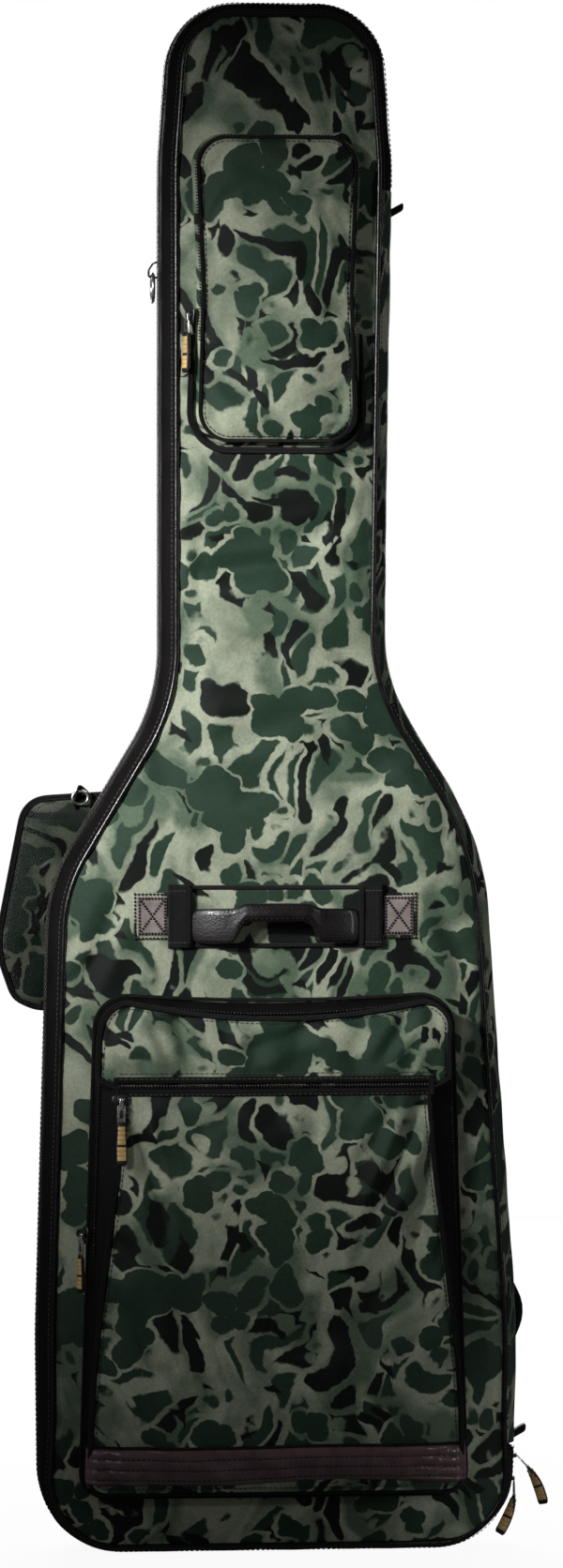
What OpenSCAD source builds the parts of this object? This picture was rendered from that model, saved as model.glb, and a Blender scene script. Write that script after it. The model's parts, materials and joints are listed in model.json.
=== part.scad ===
// Padded gig bag for a bass guitar.
// The bag stands upright: +Z runs up to the head, the front faces -Y, and the origin is the
// middle of the base. The zip seam lies in the plane y = 0 and splits the bag into a back half
// and a lid; the unbroken wall on the +X side is the fabric hinge.

/* [Bag] */
// Height from base to crown
bag_h = 1221; // [1180:1:1260]
// Width of the head and neck
head_w = 183; // [176:1:196]
// Width at the hips, the widest place
hip_w = 384; // [372:1:396]
// Width of the base before its corners are rounded
base_w = 374; // [364:1:380]
// Depth from front panel to back panel
depth = 76; // [74:1:84]
// How far each panel's edge is set in from the middle of the side wall
panel_inset = 12; // [8:1:14]
// Thickness of the foam
foam = 13; // [10:1:14]

/* [Lid hinge] */
// Height of the upper end of the main zip on the hinge side
zip_top_z = 1073; // [1040:1:1090]
// Height of the lower end of the main zip on the hinge side
zip_low_z = 81; // [78:1:100]

/* [Large pocket] */
// Height of its bottom edge
pocket_z = 47; // [44:1:60]
// Height of its top edge
pocket_top = 440; // [420:1:450]
// Width along the bottom
pocket_w = 304; // [280:1:310]
// Width along the top
pocket_top_w = 280; // [260:1:286]
// Depth in front of the bag
pocket_d = 34; // [28:1:40]
// Height at which its zip ends and its front starts to fold
pocket_fold_z = 240; // [220:1:260]
// Height of the straight zip across it
flat_zip_z = 371; // [350:1:380]

/* [Head pocket] */
// Height of its bottom edge
head_pocket_z = 870; // [860:1:890]
// Height of its top edge
head_pocket_top = 1117; // [1100:1:1130]
// Width at its middle
head_pocket_w = 126; // [116:1:128]
// Depth in front of the bag
head_pocket_d = 16; // [14:1:20]
// Height at which its zip ends and its front starts to fold
head_fold_z = 955; // [940:1:970]

/* [Handle] */
// Height of the handle's middle
handle_z = 503; // [500:1:510]
// Length of the grip between its tabs
grip_l = 134; // [120:1:136]

/* [Hidden] */
$fn = 48;
GAP = 0.2;
ARC_STEP = 9;
skin = 1.6;
half_d = depth / 2;
seam = 3.5;
HALF = 400;

// Main outline: corner points as [x, z, radius], right side from the base up, then left side
// from the crown down. The left hip is the fuller one.
shoulder_z = 564;
right_side = [
    [base_w / 2, 0, 65],
    [hip_w / 2, 170, 600],
    [hip_w / 2 - 27, shoulder_z - 4, 225],
    [head_w / 2 - 6, shoulder_z + 124, 147],
    [head_w / 2, bag_h - 126, 300],
    [head_w / 2 - 9, bag_h, 54],
];
left_side = [
    [-head_w / 2 + 9, bag_h, 54],
    [-head_w / 2, bag_h - 126, 300],
    [-head_w / 2, shoulder_z + 109, 147],
    [-hip_w / 2 + 10, shoulder_z - 38, 130],
    [-hip_w / 2 + 2, 170, 600],
    [-base_w / 2, 0, 65],
];
bag = concat(right_side, left_side);

// Large pocket and head pocket, in the same form
pocket_x = -4;
head_pocket_x = -2;
pocket = mirrored([
    [pocket_w / 2, pocket_z, 18],
    [pocket_top_w / 2, pocket_top, 26],
], pocket_x);
head_pocket = mirrored([
    [head_pocket_w / 2 + 3, head_pocket_z, 28],
    [head_pocket_w / 2, head_fold_z + 40, 200],
    [head_pocket_w / 2 + 5, head_pocket_top, 28],
], head_pocket_x);

// Stretch of the right side where the lid has no zip
lid_hinge_low = 30;
lid_hinge_top = zip_top_z + 12;
// Rear edge of the lid's wall on the hinge side, and front edge of the shell's wall there
lid_wall_y = -20.5;
shell_wall_y = -6;

pocket_face = -half_d - pocket_d;
pocket_zip_y = -half_d - 19;
pocket_step = 8;
head_face = -half_d - head_pocket_d;
head_zip_y = -half_d - 10;
head_step = 5;

// Handle
handle_x = -3;
tab_w = 15;
patch_h = 47;
x_patch = [25, 36];
grip_axis_y = -half_d - 7;
grip_bow = 24;
grip_t = 6;
grip_h = 24;

// Straps: [x, z, radius] points along the middle of each band
strap_y = half_d + 9;
pad_w = 66;
pad_t = 14;
web_w = 25;
web_t = 2.4;
left_pad = [[-62, 580, 0], [-181, 566, 52], [-184, 448, 0]];
right_pad = [[62, 580, 0], [124, 566, 40], [127, 448, 0]];
left_web_top = [[-30, 584, 0], [-58, 580, 0]];
right_web_top = [[30, 584, 0], [58, 580, 0]];
left_web_low = [[-166, 445, 0], [-158, 112, 0]];
right_web_low = [[127, 445, 0], [140, 290, 90], [191, 192, 22], [165, 110, 0]];
buckle_drop = 110;

// Sliders: [x, y, z] of the pull's pin, and the turn about Z that faces the slider outward
pin_r = 1;
eye_r = 2;
pin_out = 3.2;
flat_pin = [-126, pocket_face - 5.2, 361];
pocket_pin = [-155.2, pocket_zip_y - 1.4, 254];
head_pin = [-71.4, head_zip_y - 1.4, 973];
left_turn = -60;
right_turn = 90;

// Both main sliders park at the rounded corner of the base: one on its arc, one just above it
base_r = right_side[0][2];
arc_centre = corner_centre(mirror_of(right_side[0]), right_side[0], right_side[1]);
main_a_angle = -12;
main_a_spot = arc_centre + (base_r + pin_out + 0.3) * [cos(main_a_angle), sin(main_a_angle)];
main_a_pin = [main_a_spot[0], 1.5, main_a_spot[1]];
main_b_pin = [arc_centre[0] + base_r + pin_out + 0.6, 1.5, arc_centre[1] + 4];

// ---- Outline functions: plane points [x, z] with arcs at the corners ----

function mirrored(side, x) = concat(
    [for (p = side) [x + p[0], p[1], p[2]]],
    [for (i = [len(side) - 1 : -1 : 0]) [x - side[i][0], side[i][1], side[i][2]]]
);
function mirror_of(p) = [-p[0], p[1], p[2]];
function flat(p) = [p[0], p[1]];
function unit(v) = v / norm(v);
function turned(v, a) = [v[0] * cos(a) - v[1] * sin(a), v[0] * sin(a) + v[1] * cos(a)];
function cross2(a, b) = a[0] * b[1] - a[1] * b[0];

// Angle at b between a and c
function opening_at(a, b, c) =
    acos(max(-1, min(1, unit(flat(a) - flat(b)) * unit(flat(c) - flat(b)))));

// Centre of the arc that rounds the corner at b
function corner_centre(a, b, c) =
    let (inward = unit(unit(flat(a) - flat(b)) + unit(flat(c) - flat(b))))
    flat(b) + inward * b[2] / sin(opening_at(a, b, c) / 2);

// One rounded corner at b between a and c, moved to the left of the path by inset
function corner(a, b, c, inset) =
    let (
        u = unit(flat(a) - flat(b)),
        w = unit(flat(c) - flat(b)),
        opening = opening_at(a, b, c),
        side = cross2(-u, w) >= 0 ? 1 : -1,
        inward = unit(u + w),
        r = b[2],
        centre = corner_centre(a, b, c),
        r_in = r - side * inset,
        sweep = 180 - opening,
        start = unit(flat(b) + u * r / tan(opening / 2) - centre),
        steps = max(1, ceil(sweep / ARC_STEP))
    )
    r_in <= 0
        ? [flat(b) + inward * side * inset / sin(opening / 2)]
        : [for (i = [0 : steps]) centre + r_in * turned(start, side * sweep * i / steps)];

// Closed outline, set in by inset
function outline(points, inset) =
    let (n = len(points))
    [for (i = [0 : n - 1])
        each corner(points[(i + n - 1) % n], points[i], points[(i + 1) % n], inset)];

// One edge of an open band, shift to the left of its path
function band_edge(path, shift) =
    let (
        n = len(path),
        first = unit(flat(path[1]) - flat(path[0])),
        last = unit(flat(path[n - 1]) - flat(path[n - 2]))
    )
    concat(
        [flat(path[0]) + shift * turned(first, 90)],
        [for (i = [1 : 1 : n - 2]) each corner(path[i - 1], path[i], path[i + 1], shift)],
        [flat(path[n - 1]) + shift * turned(last, 90)]
    );
function reversed(list) = [for (i = [len(list) - 1 : -1 : 0]) list[i]];

// ---- Building blocks ----

// A plane outline given depth, from y0 back to y1
module slab(points, y0, y1) {
    translate([0, y1, 0])
        rotate([90, 0, 0])
            linear_extrude(y1 - y0)
                polygon(points);
}

// Wall that follows an outline, between two insets
module ring(points, outer, inner, y0, y1) {
    difference() {
        slab(outline(points, outer), y0, y1);
        slab(outline(points, inner), y0 - 1, y1 + 1);
    }
}

// Flat band along an open path
module band(path, w, y0, y1) {
    slab(concat(band_edge(path, -w / 2), reversed(band_edge(path, w / 2))), y0, y1);
}

// Everything on the right side between two heights
module right_zone(z0, z1) {
    translate([40, -HALF, z0])
        cube([HALF, 2 * HALF, z1 - z0]);
}

// Everything between two heights
module level(z0, z1) {
    translate([-HALF, -HALF, z0])
        cube([2 * HALF, 2 * HALF, z1 - z0]);
}

module box(x0, x1, y0, y1, z0, z1) {
    translate([x0, y0, z0])
        cube([x1 - x0, y1 - y0, z1 - z0]);
}

// Side wall cloth of one half: dir is 1 for the back half and -1 for the lid
module wall_cloth(dir, y_seam) {
    edge = dir * (half_d - skin - GAP);
    step = dir * (half_d - 6);
    y_in = min(y_seam, step);
    y_out = max(y_seam, step);
    ring(bag, 0, skin, y_in, y_out);
    ring(bag, 0, panel_inset, min(step, step + dir * skin), max(step, step + dir * skin));
    ring(bag, panel_inset - skin, panel_inset, min(step, edge), max(step, edge));
}

// ---- Back half ----

module back_panel() {
    color("darkolivegreen")
        slab(outline(bag, panel_inset), half_d - skin, half_d);
}

module back_padding() {
    color("dimgray")
        slab(outline(bag, panel_inset + 0.4), half_d - skin - GAP - foam, half_d - skin - GAP);
}

module back_lining() {
    y = half_d - skin - foam - 2 * GAP;
    color("black")
        slab(outline(bag, panel_inset + 2), y - 0.8, y);
}

module back_gusset() {
    color("darkolivegreen")
        difference() {
            wall_cloth(1, seam);
            right_zone(zip_low_z, zip_top_z);
        }
}

module hinge_gusset() {
    color("darkolivegreen")
        intersection() {
            wall_cloth(1, shell_wall_y);
            right_zone(zip_low_z + GAP, zip_top_z - GAP);
        }
}

module back_side_padding() {
    color("dimgray")
        ring(bag, skin + GAP, skin + 10, seam, half_d - skin - 2 * GAP - foam - 1);
}

module back_piping() {
    color("black")
        ring(bag, panel_inset - 1.5, panel_inset + 1.5, half_d + GAP, half_d + 2.4);
}

module main_zip_back() {
    color("black")
        difference() {
            ring(bag, 0.1, skin - 0.2, 0.3, seam - GAP);
            right_zone(zip_low_z, zip_top_z);
        }
}

module zip_end_tabs() {
    color("black") {
        box(head_w / 2 + 0.4, head_w / 2 + 9, -4, 4, zip_top_z - 22, zip_top_z - 10);
        box(hip_w / 2 - 0.6, hip_w / 2 + 7, -4, 4, zip_low_z + 1, zip_low_z + 10);
    }
}

// Foam block with a trough for the neck
module neck_rest() {
    color("dimgray")
        difference() {
            box(-62, 62, 4, half_d - foam - skin - 2, 730, 830);
            translate([0, -14, 720])
                cylinder(r = 30, h = 120);
        }
}

module neck_strap() {
    color("black") {
        box(-70, -66, -16, half_d - foam - skin - 2, 760, 800);
        box(66, 70, -16, half_d - foam - skin - 2, 760, 800);
        box(-70, 70, -18.5, -16, 760, 800);
    }
}

module bottom_bumper() {
    color("dimgray")
        box(-70, 70, -18, half_d - foam - skin - 2, 12.4, 34);
}

module hang_loop() {
    y = half_d + GAP;
    color("black")
        difference() {
            union() {
                box(-12.5, 12.5, y, y + 3, 1128, 1200);
                translate([-12.5, y + 3, 1168])
                    rotate([0, 90, 0])
                        cylinder(r = 16, h = 25);
            }
            translate([-13, y + 3, 1168])
                rotate([0, 90, 0])
                    cylinder(r = 13.5, h = 26);
            box(-13, 13, y - 20, y, 1140, 1190);
        }
}

ring_x = -head_w / 2 - 4;
ring_y = 14;
ring_z = 1010;
ring_r = 11;
wire_r = 1.5;

module side_ring_tab() {
    color("black")
        difference() {
            union() {
                box(ring_x, -head_w / 2 - 0.2, ring_y - 3, ring_y + 3, ring_z - 4, ring_z + 12);
                translate([ring_x, ring_y - 3, ring_z])
                    rotate([-90, 0, 0])
                        cylinder(r = 4, h = 6);
            }
            translate([ring_x, ring_y - 4, ring_z])
                rotate([-90, 0, 0])
                    cylinder(r = 2.6, h = 8);
        }
}

module side_ring() {
    color("silver")
        translate([ring_x, ring_y, ring_z - ring_r])
            rotate([0, 90, 0])
                rotate_extrude()
                    translate([ring_r, 0])
                        circle(r = wire_r, $fn = 24);
}

module strap_anchors() {
    y = half_d + GAP;
    color("black") {
        box(-52, 52, y, y + 3, 566, 604);
        for (s = [-1, 1])
            translate([s * 161, 0, 0])
                box(-14, 14, y, y + 3, 88, 124);
    }
}

// ---- Shoulder straps ----

module strap_pad(path) {
    y = strap_y - web_t / 2 - 4;
    color("darkolivegreen")
        band(path, pad_w, y, y + pad_t);
}

// Webbing from the top anchor to the pad, and from the pad to the bottom anchor
module strap_web(top, low) {
    color("black") {
        band(top, web_w, strap_y - web_t / 2, strap_y + web_t / 2);
        band(low, web_w, strap_y - web_t / 2, strap_y + web_t / 2);
    }
}

// Ladder-lock adjuster, threaded on the lower webbing
module strap_buckle(low) {
    run = unit(flat(low[1]) - flat(low[0]));
    at = flat(low[0]) + run * buckle_drop;
    lean = atan2(run[0], -run[1]);
    color("black")
        translate([at[0], strap_y, at[1]])
            rotate([0, -lean, 0])
                difference() {
                    translate([-18, -4, -12])
                        cube([36, 8, 24]);
                    translate([-web_w / 2 - 0.6, -web_t / 2 - 0.4, -13])
                        cube([web_w + 1.2, web_t + 0.8, 26]);
                }
}

module strap_pad_left() { strap_pad(left_pad); }
module strap_pad_right() { strap_pad(right_pad); }
module strap_web_left() { strap_web(left_web_top, left_web_low); }
module strap_web_right() { strap_web(right_web_top, right_web_low); }
module strap_buckle_left() { strap_buckle(left_web_low); }
module strap_buckle_right() { strap_buckle(right_web_low); }

// ---- Lid ----

module front_panel() {
    color("darkseagreen")
        slab(outline(bag, panel_inset), -half_d, -half_d + skin);
}

module front_padding() {
    color("dimgray")
        slab(outline(bag, panel_inset + 0.4), -half_d + skin + GAP, -half_d + skin + GAP + foam);
}

module front_lining() {
    y = -half_d + skin + foam + 2 * GAP;
    color("black")
        slab(outline(bag, panel_inset + 2), y, y + 0.8);
}

module front_gusset() {
    color("black") {
        difference() {
            wall_cloth(-1, -seam);
            right_zone(lid_hinge_low, lid_hinge_top);
        }
        intersection() {
            wall_cloth(-1, lid_wall_y);
            right_zone(lid_hinge_low, lid_hinge_top);
        }
    }
}

module front_side_padding() {
    color("dimgray")
        difference() {
            ring(bag, skin + GAP, skin + 10, -(half_d - skin - 2 * GAP - foam - 1), -seam);
            right_zone(lid_hinge_low, lid_hinge_top);
        }
}

module front_piping() {
    color("black")
        ring(bag, panel_inset - 1.5, panel_inset + 1.5, -half_d - 2.4, -half_d - GAP);
}

module main_zip_front() {
    color("black")
        difference() {
            ring(bag, 0.1, skin - 0.2, -seam + GAP, -0.3);
            right_zone(lid_hinge_low, lid_hinge_top);
        }
}

// ---- Handle ----

module handle_patch() {
    color("darkolivegreen")
        box(handle_x - 84, handle_x + 84, -half_d - 2, -half_d - GAP,
            handle_z - patch_h / 2, handle_z + patch_h / 2);
}

module handle_x_patches() {
    color("rosybrown")
        for (s = [-1, 1])
            translate([handle_x + s * 97, 0, handle_z])
                box(-x_patch[0] / 2, x_patch[0] / 2, -half_d - 2, -half_d - GAP,
                    -x_patch[1] / 2, x_patch[1] / 2);
}

module handle_tabs() {
    color("black")
        for (s = [-1, 1])
            translate([handle_x + s * (grip_l / 2 + GAP + 1 + tab_w / 2), 0, handle_z])
                box(-tab_w / 2, tab_w / 2, -half_d - 7, -half_d - 2 - GAP, -24, 24);
}

// A bowed bar: an arc in plan, narrow near its swing line so that it can turn flat
module handle_grip() {
    chord = grip_l / 2;
    arc_r = (chord * chord + grip_bow * grip_bow) / (2 * grip_bow);
    spread = asin(chord / arc_r);
    centre = [handle_x, grip_axis_y - grip_bow + arc_r];
    arc = function (r) [for (i = [-6 : 6]) centre + r * [sin(i * spread / 6), -cos(i * spread / 6)]];
    color("black")
        intersection() {
            translate([0, 0, handle_z - grip_h])
                linear_extrude(2 * grip_h)
                    polygon(concat(arc(arc_r - grip_t / 2), reversed(arc(arc_r + grip_t / 2))));
            translate([handle_x - chord, grip_axis_y, handle_z])
                rotate([90, 0, 90])
                    linear_extrude(2 * chord)
                        polygon([
                            [3, -2], [3, 2], [0, 2], [-16, grip_h / 2], [-40, grip_h / 2],
                            [-40, -grip_h / 2], [-16, -grip_h / 2], [0, -2],
                        ]);
        }
}

// ---- Pockets ----

// Front cloth of a pocket between two heights: a face and a short wall behind it
module pocket_cloth(points, step, face, y_back, z0, z1) {
    intersection() {
        union() {
            slab(outline(points, step), face, face + skin);
            ring(points, step, step + skin, face + skin, y_back);
        }
        level(z0, z1);
    }
}

module pocket_gusset() {
    color("black")
        ring(pocket, 0, 2, pocket_zip_y, -half_d - GAP);
}

module pocket_lower() {
    color("darkolivegreen") {
        pocket_cloth(pocket, pocket_step, pocket_face, pocket_zip_y - GAP, 0, pocket_fold_z - 0.5);
        intersection() {
            ring(pocket, 0, pocket_step + skin, pocket_zip_y - GAP - skin, pocket_zip_y - GAP);
            level(0, pocket_fold_z - 0.5);
        }
    }
}

module pocket_flap() {
    color("darkolivegreen")
        pocket_cloth(pocket, pocket_step, pocket_face, pocket_zip_y - 2.6, pocket_fold_z + 0.5, bag_h);
}

module pocket_zip() {
    color("black")
        intersection() {
            ring(pocket, 0, pocket_step - 2, pocket_zip_y - 2.2, pocket_zip_y - GAP);
            level(pocket_fold_z + 0.5, bag_h);
        }
}

module pocket_binding() {
    color("black")
        intersection() {
            ring(pocket, pocket_step - 1.6, pocket_step + 4, pocket_face - 2, pocket_face - GAP);
            level(flat_zip_z + 12, bag_h);
        }
}

module pocket_base_band() {
    color("rosybrown")
        intersection() {
            slab(outline(pocket, pocket_step), pocket_face - 2, pocket_face - GAP);
            level(0, pocket_z + 36);
        }
}

module flat_zip() {
    color("black")
        box(pocket_x - 126, pocket_x + 122, pocket_face - 1.8, pocket_face - GAP,
            flat_zip_z - 5, flat_zip_z + 5);
}

module head_gusset() {
    color("black")
        ring(head_pocket, 0, 2, head_zip_y, -half_d - GAP);
}

module head_lower() {
    color("darkolivegreen") {
        pocket_cloth(head_pocket, head_step, head_face, head_zip_y - GAP, 0, head_fold_z - 0.5);
        intersection() {
            ring(head_pocket, 0, head_step + skin, head_zip_y - GAP - skin, head_zip_y - GAP);
            level(0, head_fold_z - 0.5);
        }
    }
}

module head_flap() {
    color("darkolivegreen")
        pocket_cloth(head_pocket, head_step, head_face, head_zip_y - 2.6, head_fold_z + 0.5, bag_h);
}

module head_zip() {
    color("black")
        intersection() {
            ring(head_pocket, 0, head_step - 1.4, head_zip_y - 2.2, head_zip_y - GAP);
            level(head_fold_z + 0.5, bag_h);
        }
}

module head_binding() {
    color("black")
        intersection() {
            ring(head_pocket, -4, -GAP, head_zip_y, -half_d - GAP);
            level(0, head_fold_z - 5);
        }
}

// ---- Sliders and pulls, drawn with the pin at the origin and the slider behind it ----

// Slider body with a bridge that holds the pin; run_x lays it along X instead of Z
module slider_body(run_x = false) {
    long = [7, 13];
    w = run_x ? long[1] : long[0];
    h = run_x ? long[0] : long[1];
    color("silver") {
        translate([-w / 2, eye_r + 0.1, -h / 2])
            cube([w, pin_out - eye_r - GAP, h]);
        for (s = [-1, 1])
            translate([s * 2.6 - 0.6, -1.4, -1.4])
                cube([1.2, eye_r + 1.6, 2.8]);
        translate([-2.4, 0, 0])
            rotate([0, 90, 0])
                cylinder(r = pin_r, h = 4.8);
    }
}

// Metal puller: an eye on the pin and a flat bar hanging from it
module puller(length) {
    color("silver")
        difference() {
            union() {
                translate([-1.6, 0, 0])
                    rotate([0, 90, 0])
                        cylinder(r = eye_r, h = 3.2);
                translate([-1.6, -2, -5])
                    cube([3.2, 1.2, 5]);
                translate([-2.6, -2, -length])
                    cube([5.2, 1.2, length - 4]);
            }
            translate([-2, 0, 0])
                rotate([0, 90, 0])
                    cylinder(r = pin_r + 0.08, h = 4);
        }
}

// Rubber tab below the puller
module pull_tab(length, drop) {
    color("goldenrod")
        translate([-3.6, -3.2, -drop - length])
            cube([7.2, 3.2, length - GAP]);
}

module at_pin(pin, turn, lean = 0) {
    translate(pin)
        rotate([0, 0, turn])
            rotate([-lean, 0, 0])
                children();
}

main_a_lean = 0;
main_b_lean = 42;

module main_slider_a() { at_pin(main_a_pin, right_turn, main_a_angle) slider_body(); }
module main_puller_a() { at_pin(main_a_pin, right_turn, main_a_lean) puller(14); }
module main_tab_a() { at_pin(main_a_pin, right_turn, main_a_lean) pull_tab(34, 14); }
module main_slider_b() { at_pin(main_b_pin, right_turn) slider_body(); }
module main_puller_b() { at_pin(main_b_pin, right_turn, main_b_lean) puller(14); }
module main_tab_b() { at_pin(main_b_pin, right_turn, main_b_lean) pull_tab(34, 14); }
module pocket_slider() { at_pin(pocket_pin, left_turn) slider_body(); }
module pocket_puller() { at_pin(pocket_pin, left_turn) puller(16); }
module pocket_tab() { at_pin(pocket_pin, left_turn) pull_tab(30, 16); }
module flat_slider() { at_pin(flat_pin, 0) slider_body(true); }
module flat_puller() { at_pin(flat_pin, 0) puller(18); }
module flat_tab() { at_pin(flat_pin, 0) pull_tab(34, 18); }
module head_slider() { at_pin(head_pin, left_turn) slider_body(); }
module head_puller() { at_pin(head_pin, left_turn) puller(14); }
module head_tab() { at_pin(head_pin, left_turn) pull_tab(32, 14); }

back_panel();
back_padding();
back_lining();
back_gusset();
hinge_gusset();
back_side_padding();
back_piping();
main_zip_back();
zip_end_tabs();
neck_rest();
neck_strap();
bottom_bumper();
hang_loop();
side_ring_tab();
side_ring();
strap_anchors();
strap_pad_left();
strap_web_left();
strap_buckle_left();
strap_pad_right();
strap_web_right();
strap_buckle_right();
front_panel();
front_padding();
front_lining();
front_gusset();
front_side_padding();
front_piping();
main_zip_front();
handle_patch();
handle_x_patches();
handle_tabs();
handle_grip();
pocket_gusset();
pocket_lower();
pocket_flap();
pocket_binding();
pocket_base_band();
pocket_zip();
flat_zip();
head_gusset();
head_lower();
head_flap();
head_zip();
head_binding();
main_slider_a();
main_puller_a();
main_tab_a();
main_slider_b();
main_puller_b();
main_tab_b();
pocket_slider();
pocket_puller();
pocket_tab();
flat_slider();
flat_puller();
flat_tab();
head_slider();
head_puller();
head_tab();
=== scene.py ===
"""Looks of the padded gig bag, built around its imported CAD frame.

Shapes are worked out in millimetres in the bag's own frame (+Z up, front at -Y) and turned into
metres when a mesh is made. Sections: outlines, mesh tools, materials, bag, pockets, handle,
straps, zips and pulls, inside, stage.
"""

import json
import math

import bmesh
import bpy
import numpy as np
from mathutils import Matrix, Vector, noise
from mathutils.bvhtree import BVHTree

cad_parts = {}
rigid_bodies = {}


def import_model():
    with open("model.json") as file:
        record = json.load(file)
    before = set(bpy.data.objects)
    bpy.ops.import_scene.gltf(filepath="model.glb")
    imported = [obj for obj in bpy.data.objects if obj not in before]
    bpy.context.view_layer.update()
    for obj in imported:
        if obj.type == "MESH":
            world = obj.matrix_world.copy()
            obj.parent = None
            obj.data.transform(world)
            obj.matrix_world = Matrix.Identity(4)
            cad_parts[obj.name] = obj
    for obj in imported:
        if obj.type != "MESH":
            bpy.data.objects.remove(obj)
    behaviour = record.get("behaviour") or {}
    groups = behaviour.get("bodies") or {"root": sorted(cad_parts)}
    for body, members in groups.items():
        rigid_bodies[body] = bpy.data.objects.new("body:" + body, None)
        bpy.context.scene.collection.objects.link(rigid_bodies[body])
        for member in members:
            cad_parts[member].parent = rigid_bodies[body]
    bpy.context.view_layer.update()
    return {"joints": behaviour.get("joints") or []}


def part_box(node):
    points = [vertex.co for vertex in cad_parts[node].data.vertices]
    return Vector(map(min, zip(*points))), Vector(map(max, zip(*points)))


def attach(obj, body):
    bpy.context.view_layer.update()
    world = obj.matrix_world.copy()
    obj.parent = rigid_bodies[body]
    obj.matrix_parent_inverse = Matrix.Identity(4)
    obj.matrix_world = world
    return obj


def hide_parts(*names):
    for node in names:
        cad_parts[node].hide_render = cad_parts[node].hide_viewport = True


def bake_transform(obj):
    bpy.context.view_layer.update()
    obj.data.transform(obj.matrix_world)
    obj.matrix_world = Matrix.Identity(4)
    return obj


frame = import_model()
joints = {j["name"]: j for j in frame["joints"]}

MM = 0.001


def box_mm(node):
    """Lowest and highest corner of a CAD node, in millimetres."""
    low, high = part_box(node)
    return np.array(low) / MM, np.array(high) / MM


# ---------------------------------------------------------------- outlines

WALL_HIGH = box_mm("back_gusset")[1]
PANEL_PROUD = 1.8  # the piped edges stand this far in front of and behind the side wall
BAG_H = WALL_HIGH[2]
HALF_D = WALL_HIGH[1] + PANEL_PROUD
BASE = 187.0  # half widths at the base, over the hips and round the head
HIP = 192.0
HEAD = 91.5
INSET = 12.0  # how far the panels' edges are set in from the widest line of the side wall
HINGE_LOW, HINGE_TOP = (corner[2] for corner in box_mm("hinge_gusset"))


def mirrored(side, x):
    """Corner list of a shape from its right side, each corner as (x, z, radius)."""
    right = [(x + a, z, r) for a, z, r in side]
    left = [(x - a, z, r) for a, z, r in reversed(side)]
    return right + left


BAG = [
    (BASE, 0, 65),
    (HIP, 170, 600),
    (HIP - 27, 560, 225),
    (HEAD - 6, 688, 147),
    (HEAD, BAG_H - 126, 300),
    (HEAD - 9, BAG_H, 54),
    (-HEAD + 9, BAG_H, 54),
    (-HEAD, BAG_H - 126, 300),
    (-HEAD, 673, 147),
    (-HIP + 13, 526, 130),
    (-HIP + 3, 170, 600),
    (-BASE, 0, 65),
]
POCKET_X = -4.0
POCKET = mirrored([(152, 47, 18), (140, 440, 26)], POCKET_X)
HEAD_POCKET_X = -2.0
HEAD_POCKET = mirrored([(66, 870, 28), (63, 995, 200), (68, 1117, 28)], HEAD_POCKET_X)


class Loop:
    """Closed counter-clockwise outline with rounded corners, evenly spaced."""

    def __init__(self, corners, spacing=5.0):
        points, normals = [], []
        n = len(corners)
        for i, (bx, bz, r) in enumerate(corners):
            a = np.array(corners[i - 1][:2], float)
            b = np.array((bx, bz), float)
            c = np.array(corners[(i + 1) % n][:2], float)
            u = (a - b) / np.linalg.norm(a - b)
            w = (c - b) / np.linalg.norm(c - b)
            opening = math.acos(np.clip(u @ w, -1, 1))
            inward = (u + w) / np.linalg.norm(u + w)
            centre = b + inward * r / math.sin(opening / 2)
            turn = -u[0] * w[1] + u[1] * w[0]
            side = 1 if turn >= 0 else -1
            start = b + u * r / math.tan(opening / 2) - centre
            steps = max(2, int((math.pi - opening) * r / 1.0) + 1)
            for t in np.linspace(0, (math.pi - opening) * side, steps):
                d = np.array((
                    start[0] * math.cos(t) - start[1] * math.sin(t),
                    start[0] * math.sin(t) + start[1] * math.cos(t),
                ))
                points.append(centre + d)
                normals.append(-d / r * side)
        points = np.array(points + points[:1])
        normals = np.array(normals + normals[:1])
        s = np.concatenate([[0], np.cumsum(np.linalg.norm(np.diff(points, axis=0), axis=1))])
        self.length = s[-1]
        self.n = int(round(self.length / spacing))
        self.s = np.arange(self.n) * self.length / self.n
        self.p = np.stack([np.interp(self.s, s, points[:, k]) for k in (0, 1)], 1)
        m = np.stack([np.interp(self.s, s, normals[:, k]) for k in (0, 1)], 1)
        self.m = m / np.linalg.norm(m, axis=1, keepdims=True)

    def inset(self, d):
        """The outline moved inwards by d, as (x, z) rows; d may be one value a point."""
        return self.p + self.m * (np.ones(self.n) * d)[:, None]

    def edges(self, z, d):
        """Left and right edges of the inset outline at heights z."""
        q = self.inset(d)
        lo, hi = q[:, 1].min(), q[:, 1].max()
        middle = (q[:, 0].min() + q[:, 0].max()) / 2
        found = []
        for sign in (-1, 1):
            near = q[(q[:, 0] - middle) * sign > 0]
            low_row, high_row = near[near[:, 1] <= lo + 0.02], near[near[:, 1] >= hi - 0.02]
            side = near[(near[:, 1] > lo + 0.02) & (near[:, 1] < hi - 0.02)]
            low_end = low_row[np.argmax(low_row[:, 0] * sign)]
            high_end = high_row[np.argmax(high_row[:, 0] * sign)]
            side = np.concatenate([[low_end], side[np.argsort(side[:, 1])], [high_end]])
            found.append(np.interp(z, side[:, 1], side[:, 0]))
        return found


bag = Loop(BAG)
pocket = Loop(POCKET, 4.0)
head_pocket = Loop(HEAD_POCKET, 3.5)


def smooth(lo, hi, v):
    """Goes from 0 at lo to 1 at hi with soft ends."""
    t = np.clip((np.asarray(v, float) - lo) / (hi - lo), 0, 1)
    return t * t * (3 - 2 * t)


# How far each panel's edge is set in at every point of the outline: less round the base
bag_inset = INSET - 5.5 * (1 - smooth(0, 130, bag.p[:, 1]))


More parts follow.
